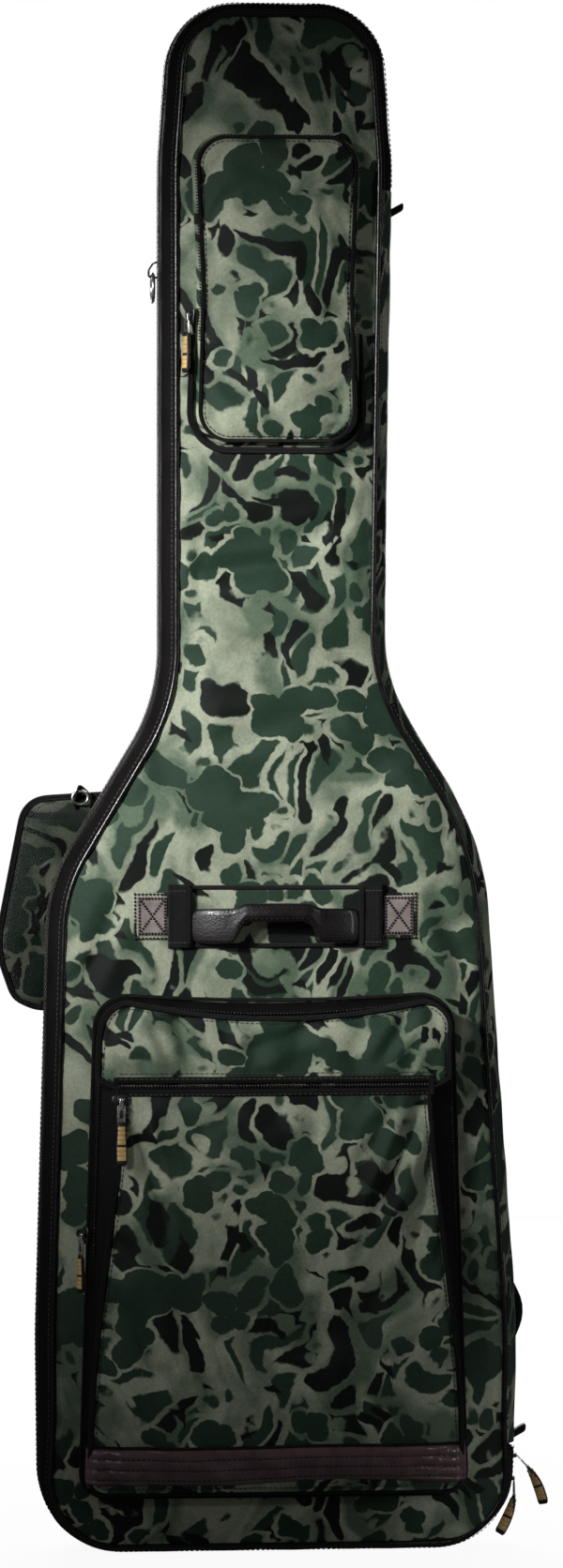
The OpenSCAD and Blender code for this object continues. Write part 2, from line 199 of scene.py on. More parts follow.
def noise_at(points, scale, seed=0.0):
    """Soft noise, about -1 to 1, at 3-D points in millimetres with lumps about scale wide."""
    return np.array([noise.noise(Vector(p) / scale + Vector((seed, seed * 1.7, -seed))) for p in points])


# ---------------------------------------------------------------- mesh tools


def remember(mesh):
    """Stores where each vertex rests, which the materials read, so patterns stay put when cloth moves."""
    rest = np.zeros(len(mesh.vertices) * 3, np.float32)
    mesh.vertices.foreach_get("co", rest)
    mesh.attributes.new("rest", "FLOAT_VECTOR", "POINT").data.foreach_set("vector", rest)


def make(name, verts, faces, mats, ids=None, body=None):
    """Mesh object from millimetre vertices, riding on body when one is given."""
    mesh = bpy.data.meshes.new(name)
    mesh.from_pydata((np.asarray(verts, float) * MM).tolist(), [], [list(map(int, f)) for f in faces])
    for m in mats if isinstance(mats, (list, tuple)) else [mats]:
        mesh.materials.append(m)
    if ids is not None:
        mesh.polygons.foreach_set("material_index", np.asarray(ids, np.int32))
    mesh.polygons.foreach_set("use_smooth", np.ones(len(mesh.polygons), bool))
    mesh.validate()
    mesh.update()
    remember(mesh)
    obj = bpy.data.objects.new(name, mesh)
    bpy.context.scene.collection.objects.link(obj)
    if body:
        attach(obj, body)
    return obj


def grid_faces(rows, cols, wrap_rows=False, wrap_cols=False, base=0):
    """Quads of a rows by cols grid of vertices, row by row."""
    r = np.arange(rows if wrap_rows else rows - 1)
    c = np.arange(cols if wrap_cols else cols - 1)
    rr, cc = np.meshgrid(r, c, indexing="ij")
    r2, c2 = (rr + 1) % rows, (cc + 1) % cols
    quads = np.stack([rr * cols + cc, rr * cols + c2, r2 * cols + c2, r2 * cols + cc], -1)
    return quads.reshape(-1, 4) + base


class Parts:
    """Collects pieces of mesh into one vertex and face list."""

    def __init__(self):
        self.verts, self.faces, self.ids, self.count = [], [], [], 0

    def add(self, verts, faces, mat=0):
        self.verts.append(np.asarray(verts, float).reshape(-1, 3))
        self.faces += [[int(i) + self.count for i in f] for f in faces]
        self.ids += [mat] * len(faces)
        self.count += len(self.verts[-1])

    def make(self, name, mats, body=None):
        return make(name, np.concatenate(self.verts), self.faces, mats, self.ids, body)


def loop_points(loop, d, y):
    """3-D points of a loop inset by d at depth y; both may be arrays."""
    q = loop.inset(d)
    return np.stack([q[:, 0], np.ones(loop.n) * y, q[:, 1]], 1)


def loft(stations, closed_path=False):
    """Skin over equal-length rings of points, with flat ends unless the path is closed."""
    rows, cols = len(stations), len(stations[0])
    faces = grid_faces(rows, cols, closed_path, True).tolist()
    if not closed_path:
        faces.append(list(range(cols))[::-1])
        faces.append([(rows - 1) * cols + i for i in range(cols)])
    return np.concatenate(stations), faces


def frames_along(path, side=None):
    """Tangent, side and up vectors along a 3-D path; side gives the rough sideways direction."""
    path = np.asarray(path, float)
    t = np.gradient(path, axis=0)
    t /= np.linalg.norm(t, axis=1, keepdims=True)
    side = np.array((0, 1.0, 0)) if side is None else np.asarray(side, float)
    a = side - (t @ side if side.ndim == 1 else (t * side).sum(1))[:, None] * t
    a /= np.linalg.norm(a, axis=1, keepdims=True)
    return t, a, np.cross(t, a)


def full_turn(n):
    """n angles evenly spaced round a circle."""
    return np.arange(n) * 2 * math.pi / n


def tube(path, radius, sides=8, closed=False, side=None):
    """Round cord along a path, as vertices and faces; radius may be one value a point."""
    path = np.asarray(path, float)
    if closed:
        ext = np.concatenate([path[-2:], path, path[:2]])
        t, a, b = (v[2:-2] for v in frames_along(ext, side))
    else:
        t, a, b = frames_along(path, side)
    angle = full_turn(sides)
    radius = np.ones(len(path)) * radius
    rings = [
        p + radius[i] * (np.cos(angle)[:, None] * a[i] + np.sin(angle)[:, None] * b[i])
        for i, p in enumerate(path)
    ]
    return loft(rings, closed)


def resample(path, step, closed=False):
    """Points about every step along a 3-D path."""
    path = np.asarray(path, float)
    if closed:
        path = np.concatenate([path, path[:1]])
    s = np.concatenate([[0], np.cumsum(np.linalg.norm(np.diff(path, axis=0), axis=1))])
    n = max(2, int(round(s[-1] / step)) + (0 if closed else 1))
    at = np.linspace(0, s[-1], n, endpoint=not closed)
    return np.stack([np.interp(at, s, path[:, k]) for k in range(3)], 1)


def round_box(size, bevel=0.6, segments=2):
    """Box centred on the origin with rounded edges, as vertices and faces."""
    bm = bmesh.new()
    bmesh.ops.create_cube(bm, size=1.0)
    bmesh.ops.scale(bm, vec=Vector(size), verts=bm.verts)
    bmesh.ops.bevel(bm, geom=bm.edges[:], offset=bevel, segments=segments, affect="EDGES", profile=0.6)
    verts = np.array([v.co[:] for v in bm.verts])
    faces = [[v.index for v in f.verts] for f in bm.faces]
    bm.free()
    return verts, faces


STITCH = round_box((1, 1, 1), 0.3, 1)
THREAD_HEIGHT = 0.6


def stitch_row(parts, path, out, pitch=4.0, length=2.9, width=0.75, closed=False, mat=1, lift=0.25):
    """Row of thread stitches along a path; out is the surface's outward direction."""
    points = resample(path, pitch, closed)
    around = np.concatenate([points[-1:], points, points[:1]]) if closed else points
    t = np.gradient(around, axis=0)
    t /= np.linalg.norm(t, axis=1, keepdims=True)
    t = t[1:-1] if closed else t
    out = np.asarray(out, float)
    outs = out if out.ndim == 2 else np.tile(out, (len(points), 1))
    if len(outs) != len(points):
        outs = outs[np.linspace(0, len(outs) - 1, len(points)).astype(int)]
    verts, faces = STITCH
    for p, d, o in zip(points, t, outs):
        s = np.cross(d, o)
        s /= np.linalg.norm(s)
        o2 = np.cross(s, d)
        m = np.stack([d * length, s * width, o2 * THREAD_HEIGHT], 0)
        parts.add(verts @ m + p + o2 * lift, faces, mat)


# ---------------------------------------------------------------- materials


class Shader:
    """A material's node tree, with short calls for the nodes used here."""

    def __init__(self, name):
        self.material = bpy.data.materials.new(name)
        self.material.use_nodes = True
        self.tree = self.material.node_tree
        self.tree.nodes.clear()
        self.out = self.tree.nodes.new("ShaderNodeOutputMaterial")
        self.place = self.node("ShaderNodeAttribute", attribute_name="rest").outputs["Vector"]

    def node(self, kind, inputs=None, **props):
        n = self.tree.nodes.new(kind)
        for key, value in props.items():
            setattr(n, key, value)
        for key, value in (inputs or {}).items():
            self.put(n.inputs[key], value)
        return n

    def put(self, socket, value):
        if isinstance(value, bpy.types.NodeSocket):
            self.tree.links.new(value, socket)
        elif isinstance(value, tuple):
            socket.default_value = value[:len(socket.default_value)]
        else:
            socket.default_value = value

    def math(self, op, a, b=0.0, c=0.0):
        n = self.node("ShaderNodeMath", operation=op)
        for socket, value in zip(n.inputs, (a, b, c)):
            self.put(socket, value)
        return n.outputs[0]

    def vector(self, op, a, b=(0, 0, 0), scale=None):
        n = self.node("ShaderNodeVectorMath", {0: a, 1: b}, operation=op)
        if scale is not None:
            self.put(n.inputs["Scale"], scale)
        return n.outputs[0]

    def mix(self, fac, a, b):
        n = self.node("ShaderNodeMix", data_type="RGBA")
        self.put(n.inputs[0], fac)
        self.put(n.inputs[6], a)
        self.put(n.inputs[7], b)
        return n.outputs[2]

    def noise(self, scale, detail=2.0, rough=0.5, at=None, distort=0.0, out=0):
        n = self.node("ShaderNodeTexNoise", {
            "Vector": at if at is not None else self.place, "Scale": scale,
            "Detail": detail, "Roughness": rough, "Distortion": distort,
        })
        return n.outputs[out]

    def ramp(self, value, lo, hi, a=0.0, b=1.0):
        n = self.node("ShaderNodeMapRange", {
            "Value": value, "From Min": lo, "From Max": hi, "To Min": a, "To Max": b,
        })
        return n.outputs[0]

    def tinted(self, color, tint):
        """A colour made lighter or darker from place to place."""
        return self.vector("SCALE", color, scale=tint)

    def bump(self, height, strength, distance):
        n = self.node("ShaderNodeBump", {"Height": height, "Strength": strength, "Distance": distance})
        return n.outputs[0]

    def waves(self, value, pitch_mm):
        """Sine ridges along a position value, one every pitch."""
        return self.math("SINE", self.math("MULTIPLY", value, 2 * math.pi / (pitch_mm * MM)))

    def finish(self, color, rough, normal, metal=0.0, sheen=0.0, coat=0.0, specular=0.5):
        n = self.node("ShaderNodeBsdfPrincipled", {
            "Base Color": color, "Roughness": rough, "Metallic": metal, "Sheen Weight": sheen,
            "Coat Weight": coat, "Specular IOR Level": specular, "Normal": normal,
        })
        self.put(self.out.inputs["Surface"], n.outputs[0])
        return self.material


def rgb(r, g, b):
    """Display colour, 0 to 255, as a linear colour."""
    linear = (((c / 255 + 0.055) / 1.055) ** 2.4 if c > 10 else c / 255 / 12.92 for c in (r, g, b))
    return (*linear, 1.0)


def weave(sh, pitch_mm, strength):
    """Plain weave as a bump: two crossed sets of ridges, broken up by a little noise."""
    xyz = sh.node("ShaderNodeSeparateXYZ", {0: sh.place}).outputs
    across = sh.waves(sh.math("ADD", xyz[0], xyz[1]), pitch_mm)
    along = sh.waves(sh.math("SUBTRACT", xyz[2], xyz[1]), pitch_mm)
    rough = sh.noise(700.0, 2.0, 0.6)
    height = sh.math("ADD", sh.math("MULTIPLY", across, along), sh.math("MULTIPLY", rough, 1.6))
    return sh.bump(height, strength, 0.0006)


def clouds(sh, at, lobe, patch, seed):
    """Height field whose level lines are big blobs with round scalloped edges."""
    shifted = sh.vector("ADD", at, (seed, -seed * 1.3, 0))
    cells = sh.node("ShaderNodeTexVoronoi", {"Vector": shifted, "Scale": 1 / lobe, "Randomness": 0.85},
                    voronoi_dimensions="2D")
    round_top = sh.math("POWER", cells.outputs["Distance"], 2.0)
    return sh.math("MULTIPLY_ADD", round_top, -0.42, sh.noise(1 / patch, 0.0, 0.5, shifted))


def kidneys(sh, at, length, width, share, seed, lean):
    """Mask of close-set bent blobs with channels between them, and a random number for each blob."""
    turned = sh.node("ShaderNodeVectorRotate", {"Vector": at, "Angle": lean}, rotation_type="Z_AXIS")
    shifted = sh.vector("ADD", turned.outputs[0], (seed, -seed, 0))
    squeezed = sh.vector("MULTIPLY", shifted, (1 / width, 1 / length, 1))
    setting = {"Vector": squeezed, "Scale": 1.0, "Randomness": 0.9}
    cells = sh.node("ShaderNodeTexVoronoi", setting, voronoi_dimensions="2D")
    edges = sh.node("ShaderNodeTexVoronoi", setting, voronoi_dimensions="2D", feature="DISTANCE_TO_EDGE")
    picked = sh.node("ShaderNodeSeparateColor", {0: cells.outputs["Color"]}).outputs
    reach = sh.ramp(picked[1], 0.0, 1.0, 0.36, 0.60)
    inside = sh.ramp(sh.math("SUBTRACT", reach, cells.outputs["Distance"]), -0.03, 0.03, 0.0, 1.0)
    apart = sh.ramp(edges.outputs["Distance"], 0.07, 0.13, 0.0, 1.0)
    blob = sh.math("MULTIPLY", inside, apart)
    return sh.math("MULTIPLY", sh.math("LESS_THAN", picked[0], share), blob), picked[2]


def camo(name, shift=0.0, rough=0.5, painted_shade_scale=1.0, specular=0.2):
    """Camouflage printed on coarse woven cloth: faded ground, big blobs, small bent blobs and black."""
    sh = Shader(name)
    xyz = sh.node("ShaderNodeSeparateXYZ", {0: sh.place}).outputs
    u = sh.math("MULTIPLY_ADD", xyz[1], 0.8, xyz[0])
    v = sh.math("MULTIPLY_ADD", xyz[1], -0.5, xyz[2])
    start = sh.node("ShaderNodeCombineXYZ", {0: u, 1: v}).outputs[0]
    start = sh.vector("ADD", sh.vector("SCALE", start, scale=1.14), (shift, shift * 0.3, 0))

    def pushed(where, scale, detail, reach):
        """Places moved about by noise that is read at the unmoved ones."""
        away = sh.vector("SUBTRACT", sh.noise(scale, detail, 0.5, start, out=1), (0.5, 0.5, 0.5))
        return sh.vector("ADD", where, sh.vector("SCALE", away, scale=reach))

    soft = pushed(pushed(start, 45.0, 0.0, 0.014), 130.0, 1.0, 0.0055)
    at = pushed(soft, 15.0, 0.0, 0.085)
    mottle = sh.noise(9.0, 4.0, 0.6)
    grain = sh.noise(420.0, 2.0, 0.7)
    flow = sh.vector("MULTIPLY", sh.vector("ADD", at, (0.4, 0.9, 0)), (1.0, 0.55, 1.0))
    faded = sh.ramp(sh.noise(21.0, 2.0, 0.55, flow), 0.42, 0.60, 0.0, 1.0)
    sage = sh.mix(faded, rgb(176, 183, 160), rgb(98, 117, 96))
    green = sh.mix(mottle, rgb(50, 76, 59), rgb(35, 53, 42))
    dark = sh.mix(mottle, rgb(10, 15, 12), rgb(21, 29, 23))
    height = clouds(sh, soft, 0.027, 0.068, 0.31)
    big = sh.ramp(height, 0.527, 0.543, 0.0, 1.0)
    clear = sh.ramp(height, 0.463, 0.479, 1.0, 0.0)
    blobs, pick = kidneys(sh, at, 0.046, 0.025, 0.85, 0.83, 0.3)
    slim, _ = kidneys(sh, at, 0.040, 0.016, 0.22, 2.11, -0.8)
    small = sh.math("MULTIPLY", blobs, clear)
    black = sh.math("MULTIPLY", small, sh.math("LESS_THAN", pick, 0.38))
    black = sh.math("MAXIMUM", black, sh.math("MULTIPLY", slim, clear))
    color = sh.mix(black, sh.mix(sh.math("MAXIMUM", big, small), sage, green), dark)
    # painted_shade_scale scales the whole colour; below 1 it paints shade over this copy of the camo
    tint = sh.ramp(grain, 0.3, 0.7, 0.80 * painted_shade_scale, 1.12 * painted_shade_scale)
    color = sh.tinted(color, tint)
    rough_map = sh.ramp(grain, 0.2, 0.8, rough - 0.08, rough + 0.08)
    return sh.finish(color, rough_map, weave(sh, 1.7, 0.30), specular=specular)


def cloth(name, color, rough, pitch, specular):
    """Plain woven cloth with faint wear and dust."""
    sh = Shader(name)
    worn = sh.noise(40.0, 4.0, 0.6)
    fleck = sh.noise(500.0, 1.0, 0.5)
    tint = sh.math("MULTIPLY", sh.ramp(worn, 0.3, 0.7, 0.65, 1.35), sh.ramp(fleck, 0.2, 0.8, 0.8, 1.25))
    return sh.finish(sh.tinted(color, tint), sh.ramp(worn, 0.3, 0.7, rough - 0.06, rough + 0.06),
                     weave(sh, pitch, 0.35), specular=specular)


def ribbed(name, color, pitch, rough):
    """Webbing and binding: crossed ribs in a tight weave."""
    sh = Shader(name)
    xyz = sh.node("ShaderNodeSeparateXYZ", {0: sh.place}).outputs
    diagonal = sh.waves(sh.math("ADD", xyz[0], xyz[2]), pitch)
    cross = sh.waves(sh.math("SUBTRACT", xyz[0], xyz[2]), pitch)
    height = sh.math("ADD", sh.math("MULTIPLY", diagonal, cross), sh.noise(600.0, 2.0, 0.6))
    worn = sh.noise(60.0, 3.0, 0.6)
    tint = sh.ramp(worn, 0.3, 0.7, 0.7, 1.35)
    return sh.finish(sh.tinted(color, tint), rough, sh.bump(height, 0.5, 0.0007), sheen=0.04,
                     specular=0.22)


def plastic(name, color, rough, grain=0.12):
    """Moulded plastic, rubber or cord with a fine grain and slightly scuffed highlights."""
    sh = Shader(name)
    scuff = sh.noise(90.0, 4.0, 0.65)
    fine = sh.noise(1500.0, 1.0, 0.5)
    tint = sh.ramp(scuff, 0.3, 0.75, 0.8, 1.3)
    return sh.finish(sh.tinted(color, tint), sh.ramp(scuff, 0.25, 0.75, rough - 0.08, rough + 0.12),
                     sh.bump(fine, grain, 0.0003))


def leather(name, color, rough):
    """Coated leatherette: pebbled grain, creases and a soft gloss."""
    sh = Shader(name)
    pebble = sh.node("ShaderNodeTexVoronoi", {"Vector": sh.place, "Scale": 620.0}, feature="SMOOTH_F1")
    crease = sh.noise(60.0, 4.0, 0.6, distort=0.6)
    height = sh.math("ADD", pebble.outputs["Distance"], sh.math("MULTIPLY", crease, 1.2))
    tint = sh.ramp(crease, 0.3, 0.7, 0.75, 1.35)
    return sh.finish(sh.tinted(color, tint), sh.ramp(crease, 0.3, 0.7, rough - 0.06, rough + 0.14),
                     sh.bump(height, 0.35, 0.0005), coat=0.15)


def metal(name, color, rough=0.25):
    """Plated metal with fine scratches and dull spots."""
    sh = Shader(name)
    spots = sh.noise(220.0, 4.0, 0.7)
    brushed = sh.noise(900.0, 2.0, 0.5, sh.vector("MULTIPLY", sh.place, (1.0, 1.0, 0.08)))
    return sh.finish(color, sh.ramp(spots, 0.3, 0.7, rough - 0.08, rough + 0.18),
                     sh.bump(brushed, 0.12, 0.0002), metal=1.0)


def foam_cloth(name, color):
    """Short plush lining: a soft pile over faint quilting."""
    sh = Shader(name)
    pile = sh.noise(1200.0, 3.0, 0.7)
    brushed = sh.noise(30.0, 3.0, 0.6)
    tint = sh.ramp(brushed, 0.3, 0.7, 0.7, 1.4)
    return sh.finish(sh.tinted(color, tint), 0.95, sh.bump(pile, 0.6, 0.0008), sheen=0.6)


CAMO = camo("camo_cloth")
CAMO_SIDE = camo("camo_side_cloth", shift=0.37)
CAMO_POCKET = camo("camo_pocket_cloth", shift=0.74)
# The straps' camo is the same print darkened to about a quarter: painted shade, with its own gloss
CAMO_STRAP_SHADED = camo("camo_strap_cloth_shaded", shift=1.21, rough=0.34, painted_shade_scale=0.23, specular=0.14)
BLACK = cloth("black_cloth", rgb(17, 15, 15), 0.62, 1.1, 0.12)
TAPE = cloth("zip_tape_cloth", rgb(14, 13, 13), 0.6, 0.8, 0.2)
TEETH = plastic("zip_coil", rgb(26, 24, 24), 0.28)
PIPING = plastic("piping_cord", rgb(16, 14, 14), 0.24, 0.3)
BINDING = ribbed("edge_binding", rgb(15, 12, 13), 1.4, 0.42)
WEBBING = ribbed("black_webbing", rgb(13, 11, 12), 1.9, 0.5)
TAUPE = ribbed("taupe_webbing", rgb(160, 148, 144), 1.6, 0.75)
THREAD = plastic("black_thread", rgb(18, 16, 16), 0.5)
GREY_THREAD = plastic("grey_thread", rgb(74, 70, 66), 0.6)
LEATHER = leather("leatherette", rgb(100, 77, 82), 0.27)
GRIP = leather("grip_leatherette", rgb(18, 12, 14), 0.40)
FOAM_COVER = foam_cloth("foam_cover", rgb(58, 58, 60))
STEEL = metal("bright_nickel", (0.78, 0.77, 0.74, 1))
GUN = metal("black_nickel", (0.12, 0.12, 0.13, 1), 0.3)
GOLD = plastic("gold_stripe", rgb(214, 178, 118), 0.35)
RUBBER = plastic("tab_rubber", rgb(24, 22, 21), 0.5, 0.25)
BUCKLE = plastic("buckle_plastic", rgb(26, 26, 27), 0.35)
LINING = foam_cloth("plush_lining", rgb(38, 38, 42))


# ---------------------------------------------------------------- cloth simulation


SIM_FRAMES = 16


def relax(objects):
    """Runs every object's Cloth modifier together, then applies each, capped at its move limit."""
    scene = bpy.context.scene
    scene.frame_start, scene.frame_end = 1, SIM_FRAMES
    for f in range(1, SIM_FRAMES + 1):
        scene.frame_set(f)
    graph = bpy.context.evaluated_depsgraph_get()
    for obj in objects:
        start = np.array([v.co[:] for v in obj.data.vertices])
        done = np.array([v.co[:] for v in obj.evaluated_get(graph).data.vertices])
        move = done - start
        size = np.linalg.norm(move, axis=1, keepdims=True)
        cap = obj["move_cap"]
        move *= np.minimum(1, cap / np.maximum(size, 1e-9))
        obj.modifiers.clear()
        obj.vertex_groups.clear()
        obj.data.vertices.foreach_set("co", (start + move).ravel())
        obj.data.update()
        del obj["move_cap"]
    scene.frame_set(1)


simulated = []


def soft_sheet(obj, pins, slack, pressure, cap_mm):
    """Cloth modifier with pinned vertices; slack is how much longer the cloth is than its frame."""
    group = obj.vertex_groups.new(name="pin")
    for i, w in enumerate(pins):
        if w > 0:
            group.add([i], float(w), "REPLACE")
    mod = obj.modifiers.new("cloth", "CLOTH")
    s = mod.settings
    s.quality = 5
    s.mass = 0.25
    s.tension_stiffness = s.compression_stiffness = s.shear_stiffness = 12.0
    s.bending_stiffness = 0.6
    s.shrink_min = s.shrink_max = -slack
    s.use_pressure = True
    s.uniform_pressure_force = pressure
    s.vertex_group_mass = "pin"
    s.pin_stiffness = 1.0
    s.effector_weights.gravity = 0.0
    mod.collision_settings.use_collision = False
    obj["move_cap"] = cap_mm * MM
    simulated.append(obj)


def subdivide(obj):
    """Smooths a mesh with one step of a subdivision surface and applies it."""
    mod = obj.modifiers.new("smooth", "SUBSURF")
    mod.levels = mod.render_levels = 1
    graph = bpy.context.evaluated_depsgraph_get()
    mesh = bpy.data.meshes.new_from_object(obj.evaluated_get(graph))
    old = obj.data
    obj.modifiers.clear()
    obj.data = mesh
    mesh.name = old.name
    bpy.data.meshes.remove(old)


# ---------------------------------------------------------------- bag shell


def panel_rows(loop, d, step=6.0):
    """Heights and both edges of the rows of a panel inside a loop."""
    q = loop.inset(d)
    lo, hi = q[:, 1].min(), q[:, 1].max()
    ends = np.array((0, 1.2, 3.0, 5.5, 9.0, 13.5, 19.0))
    middle = np.linspace(lo + 25, hi - 25, max(2, int((hi - lo - 50) / step)))
    z = np.concatenate([lo + ends, middle, hi - ends[::-1]])
    return z, *loop.edges(z, d)


# Turns the narrow lumps a little off the vertical
LEAN = np.array(((0.94, 0, -0.34), (0, 1, 0), (0.34, 0, 0.94)))


def rumple(x, z, seed):
    """Soft lumps of padded cloth: broad ones, and narrower ones drawn out along the height."""
    flat = np.stack([x.ravel(), x.ravel() * 0, z.ravel()], 1)
    broad = noise_at(flat * (1.0, 1.0, 0.8), 88.0, seed)
    narrow = noise_at(flat @ LEAN * (1.0, 1.0, 0.5), 30.0, seed + 3.0)
    return (broad + 0.42 * narrow).reshape(x.shape)


def panel(name, loop, d, y, dome, roll, cols, mats, flip=False, shape=None, step=6.0, lumps=0.0):
    """Crowned cloth panel that fills a loop: a grid of rows across it. Gives its edge vertices too."""
    z, left, right = panel_rows(loop, d, step)
    u = np.linspace(-1, 1, cols)
    u = np.sign(u) * (1 - (1 - np.abs(u)) ** 1.25)
    half = (right - left) / 2
    x = ((left + right) / 2)[:, None] + half[:, None] * u[None]
    zz = np.repeat(z[:, None], cols, 1)
    gap = np.minimum(half[:, None] * (1 - np.abs(u))[None], np.minimum(zz - z[0], z[-1] - zz))
    rise = dome * (1 - np.exp(-gap / roll))
    if lumps:
        rise += lumps * rumple(x, zz, y) * (1 - np.exp(-gap / 16.0))
    side = -1 if not flip else 1
    verts = np.stack([x, y + side * rise, zz], -1).reshape(-1, 3)
    if shape:
        verts = shape(verts)
    faces = grid_faces(len(z), cols)
    if flip:
        faces = faces[:, ::-1]
    obj = make(name, verts, faces, mats)
    return obj, (gap.reshape(-1) < 0.5).astype(float)


def pocket_sag(p):
    """The soft top of the pocket, sagging between its corners and a little more at the front."""
    p = np.array(p, float)
    middle = np.clip(1 - ((p[:, 0] - POCKET_X) / 116) ** 2, 0, 1)
    forward = smooth(-HALF_D, POCKET_FACE, p[:, 1])
    drop = middle * smooth(396, 437, p[:, 2]) * (4 + 9 * forward)
    p[:, 2] -= drop
    return p


def pocket_inset(points):
    """How far the pocket's face is set in: little above the straight zip, most just under it."""
    x, z = points.T
    above = 4.7 + 1.8 * np.sign(x - POCKET_X) * (1 - smooth(398, 424, z))
    below = 6 + 17.0 * smooth(110, 366, z)
    return below + (above - below) * smooth(368, 377, z)


def creased(obj, creases):
    """Presses folds into a sheet: each crease is (x0, z0, x1, z1, depth, width)."""
    p = np.array([v.co[:] for v in obj.data.vertices]) / MM
    for x0, z0, x1, z1, depth, width in creases:
        d = np.array((x1 - x0, z1 - z0), float)
        t = ((p[:, [0, 2]] - (x0, z0)) @ d) / (d @ d)
        off = ((p[:, 0] - x0) * d[1] - (p[:, 2] - z0) * d[0]) / np.linalg.norm(d)
        end = smooth(-0.15, 0.25, t) * (1 - smooth(0.6, 1.1, t))
        valley = np.exp(-((off / width) ** 2)) - 0.55 * np.exp(-(((np.abs(off) - 2.1 * width) / width) ** 2))
        p[:, 1] += depth * end * valley
    obj.data.vertices.foreach_set("co", (p * MM).ravel())
    obj.data.update()


POCKET_FACE = box_mm("pocket_flap")[0][1]
HEAD_FACE = box_mm("head_flap")[0][1]
FLAT_ZIP = (box_mm("flat_zip")[0][2] + box_mm("flat_zip")[1][2]) / 2
HEAD_INSET = 5.5

front, front_pins = panel("front_panel_cloth", bag, bag_inset - 1, -HALF_D, 4.5, 9.0, 61, [CAMO], lumps=2.6)
back, back_pins = panel("back_panel_cloth", bag, bag_inset - 1, HALF_D, 2.0, 12.0, 49, [CAMO_SIDE], True,
                        lumps=1.5)
pocket_cloth, pocket_pins = panel("pocket_front_cloth", pocket, pocket_inset(pocket.p), POCKET_FACE + 1,
                                  4.5, 16.0, 67, [CAMO_POCKET], False, pocket_sag, 5.0, 3.2)
head_cloth, head_pins = panel("head_pocket_cloth", head_pocket, HEAD_INSET, HEAD_FACE + 1, 4.0, 10.0, 41,
                              [CAMO], False, None, 5.0, 2.0)
pocket_z_now = np.array([v.co.z for v in pocket_cloth.data.vertices]) / MM
pocket_pins = np.maximum(pocket_pins, (np.abs(pocket_z_now - FLAT_ZIP) < 7.5).astype(float))

soft_sheet(front, front_pins, slack=0.006, pressure=0.7, cap_mm=4.0)
soft_sheet(back, back_pins, slack=0.006, pressure=0.5, cap_mm=3.0)
soft_sheet(pocket_cloth, pocket_pins, slack=0.028, pressure=1.1, cap_mm=8.0)
soft_sheet(head_cloth, head_pins, slack=0.016, pressure=0.8, cap_mm=5.0)
if simulated:
    relax(simulated)
for sheet in (front, back, pocket_cloth, head_cloth):
    subdivide(sheet)
creased(pocket_cloth, [
    (110, 358, 68, 256, 6.0, 6.0),
    (119, 330, 98, 206, 3.6, 5.5),
    (86, 352, 52, 296, 2.6, 6.0),
    (-116, 354, -88, 250, 4.2, 5.5),
    (-106, 356, -44, 282, 2.8, 6.5),
    (-74, 352, -30, 318, 1.8, 6.0),
    (-104, 424, -86, 386, 2.6, 4.0),
    (-82, 428, -72, 384, 2.2, 4.0),
    (100, 426, 74, 386, 2.6, 4.5),
    (30, 420, -44, 392, 3.0, 7.0),
    (60, 120, 70, 230, 2.4, 9.0),
    (-98, 104, -112, 220, 2.6, 8.0),
    (-20, 98, -34, 178, 1.8, 9.0),
])
creased(front, [
    (-62, 770, 34, 782, 2.8, 7.0),
    (58, 812, -6, 792, 2.0, 7.5),
    (-64, 700, 10, 716, 1.8, 9.0),
    (-70, 638, 24, 656, 2.0, 10.0),
    (96, 610, 30, 640, 2.0, 10.0),
    (-152, 452, -122, 530, 2.4, 8.0),
    (150, 452, 112, 548, 2.6, 8.0),
    (128, 446, 92, 486, 1.8, 7.0),
    (44, 1186, -34, 1152, 1.6, 9.0),
])
creased(head_cloth, [
    (-36, 1092, 28, 1070, 1.8, 7.0),
    (-46, 918, 14, 898, 2.0, 7.0),
    (30, 1000, -14, 978, 1.6, 8.0),
])


class Surface:
    """Where a finished sheet lies at a place in the front view, for things sewn onto it."""

    def __init__(self, obj, side=-1):
        self.side = side
        self.tree = BVHTree.FromPolygons([v.co.copy() for v in obj.data.vertices],
                                         [tuple(p.vertices) for p in obj.data.polygons])

    def y(self, x, z, default):
        hit = self.tree.ray_cast(Vector((x * MM, self.side * 0.5, z * MM)), Vector((0, -self.side, 0)))[0]
        return default if hit is None else hit.y / MM

    def lay(self, points, default, lift=0.0):
        """3-D points on the sheet for (x, z) rows, raised off it by lift."""
        return np.array([(x, self.y(x, z, default) + self.side * lift, z) for x, z in points])


front_surface = Surface(front)
back_surface = Surface(back, 1)
pocket_surface = Surface(pocket_cloth)


def wall_share(y):
    """How far round its soft curve the side wall is at depth y: 0 in the middle, 1 at the panels."""
    return (np.abs(y) / HALF_D) ** 2.6


def wall_inset(y):
    """How far the soft side wall is set in from the bag's outline at depth y."""
    return INSET * wall_share(y)


def wall(name, mask, sections, mats):
    """Side wall over part of the outline. sections: (y, inset, material, puff) down the cross-section."""
    idx = np.nonzero(mask)[0]
    breaks = np.nonzero(np.diff(idx) > 1)[0]
    if len(breaks):
        idx = np.concatenate([idx[breaks[0] + 1:], idx[:breaks[0] + 1]])
    ys, ins, ids, puff = (np.array(column) for column in zip(*sections))
    less = np.where(ids != mats.index(LINING), wall_share(ys), 0)
    set_in = ins[None] + (bag_inset[idx] - INSET)[:, None] * less[None]
    points = bag.p[idx][:, None, :] + bag.m[idx][:, None, :] * set_in[:, :, None]
    ripple = noise_at(np.stack([bag.p[idx][:, 0], idx * 0, bag.p[idx][:, 1]], 1), 26.0)
    points -= bag.m[idx][:, None, :] * (puff[None, :, None] * (1 + 0.45 * ripple)[:, None, None])
    y = np.broadcast_to(ys[None, :], points.shape[:2])
    verts = np.stack([points[..., 0], y, points[..., 1]], -1).reshape(-1, 3)
    return make(name, verts, grid_faces(len(idx), len(ys)), mats, np.tile(ids[:-1], len(idx) - 1))


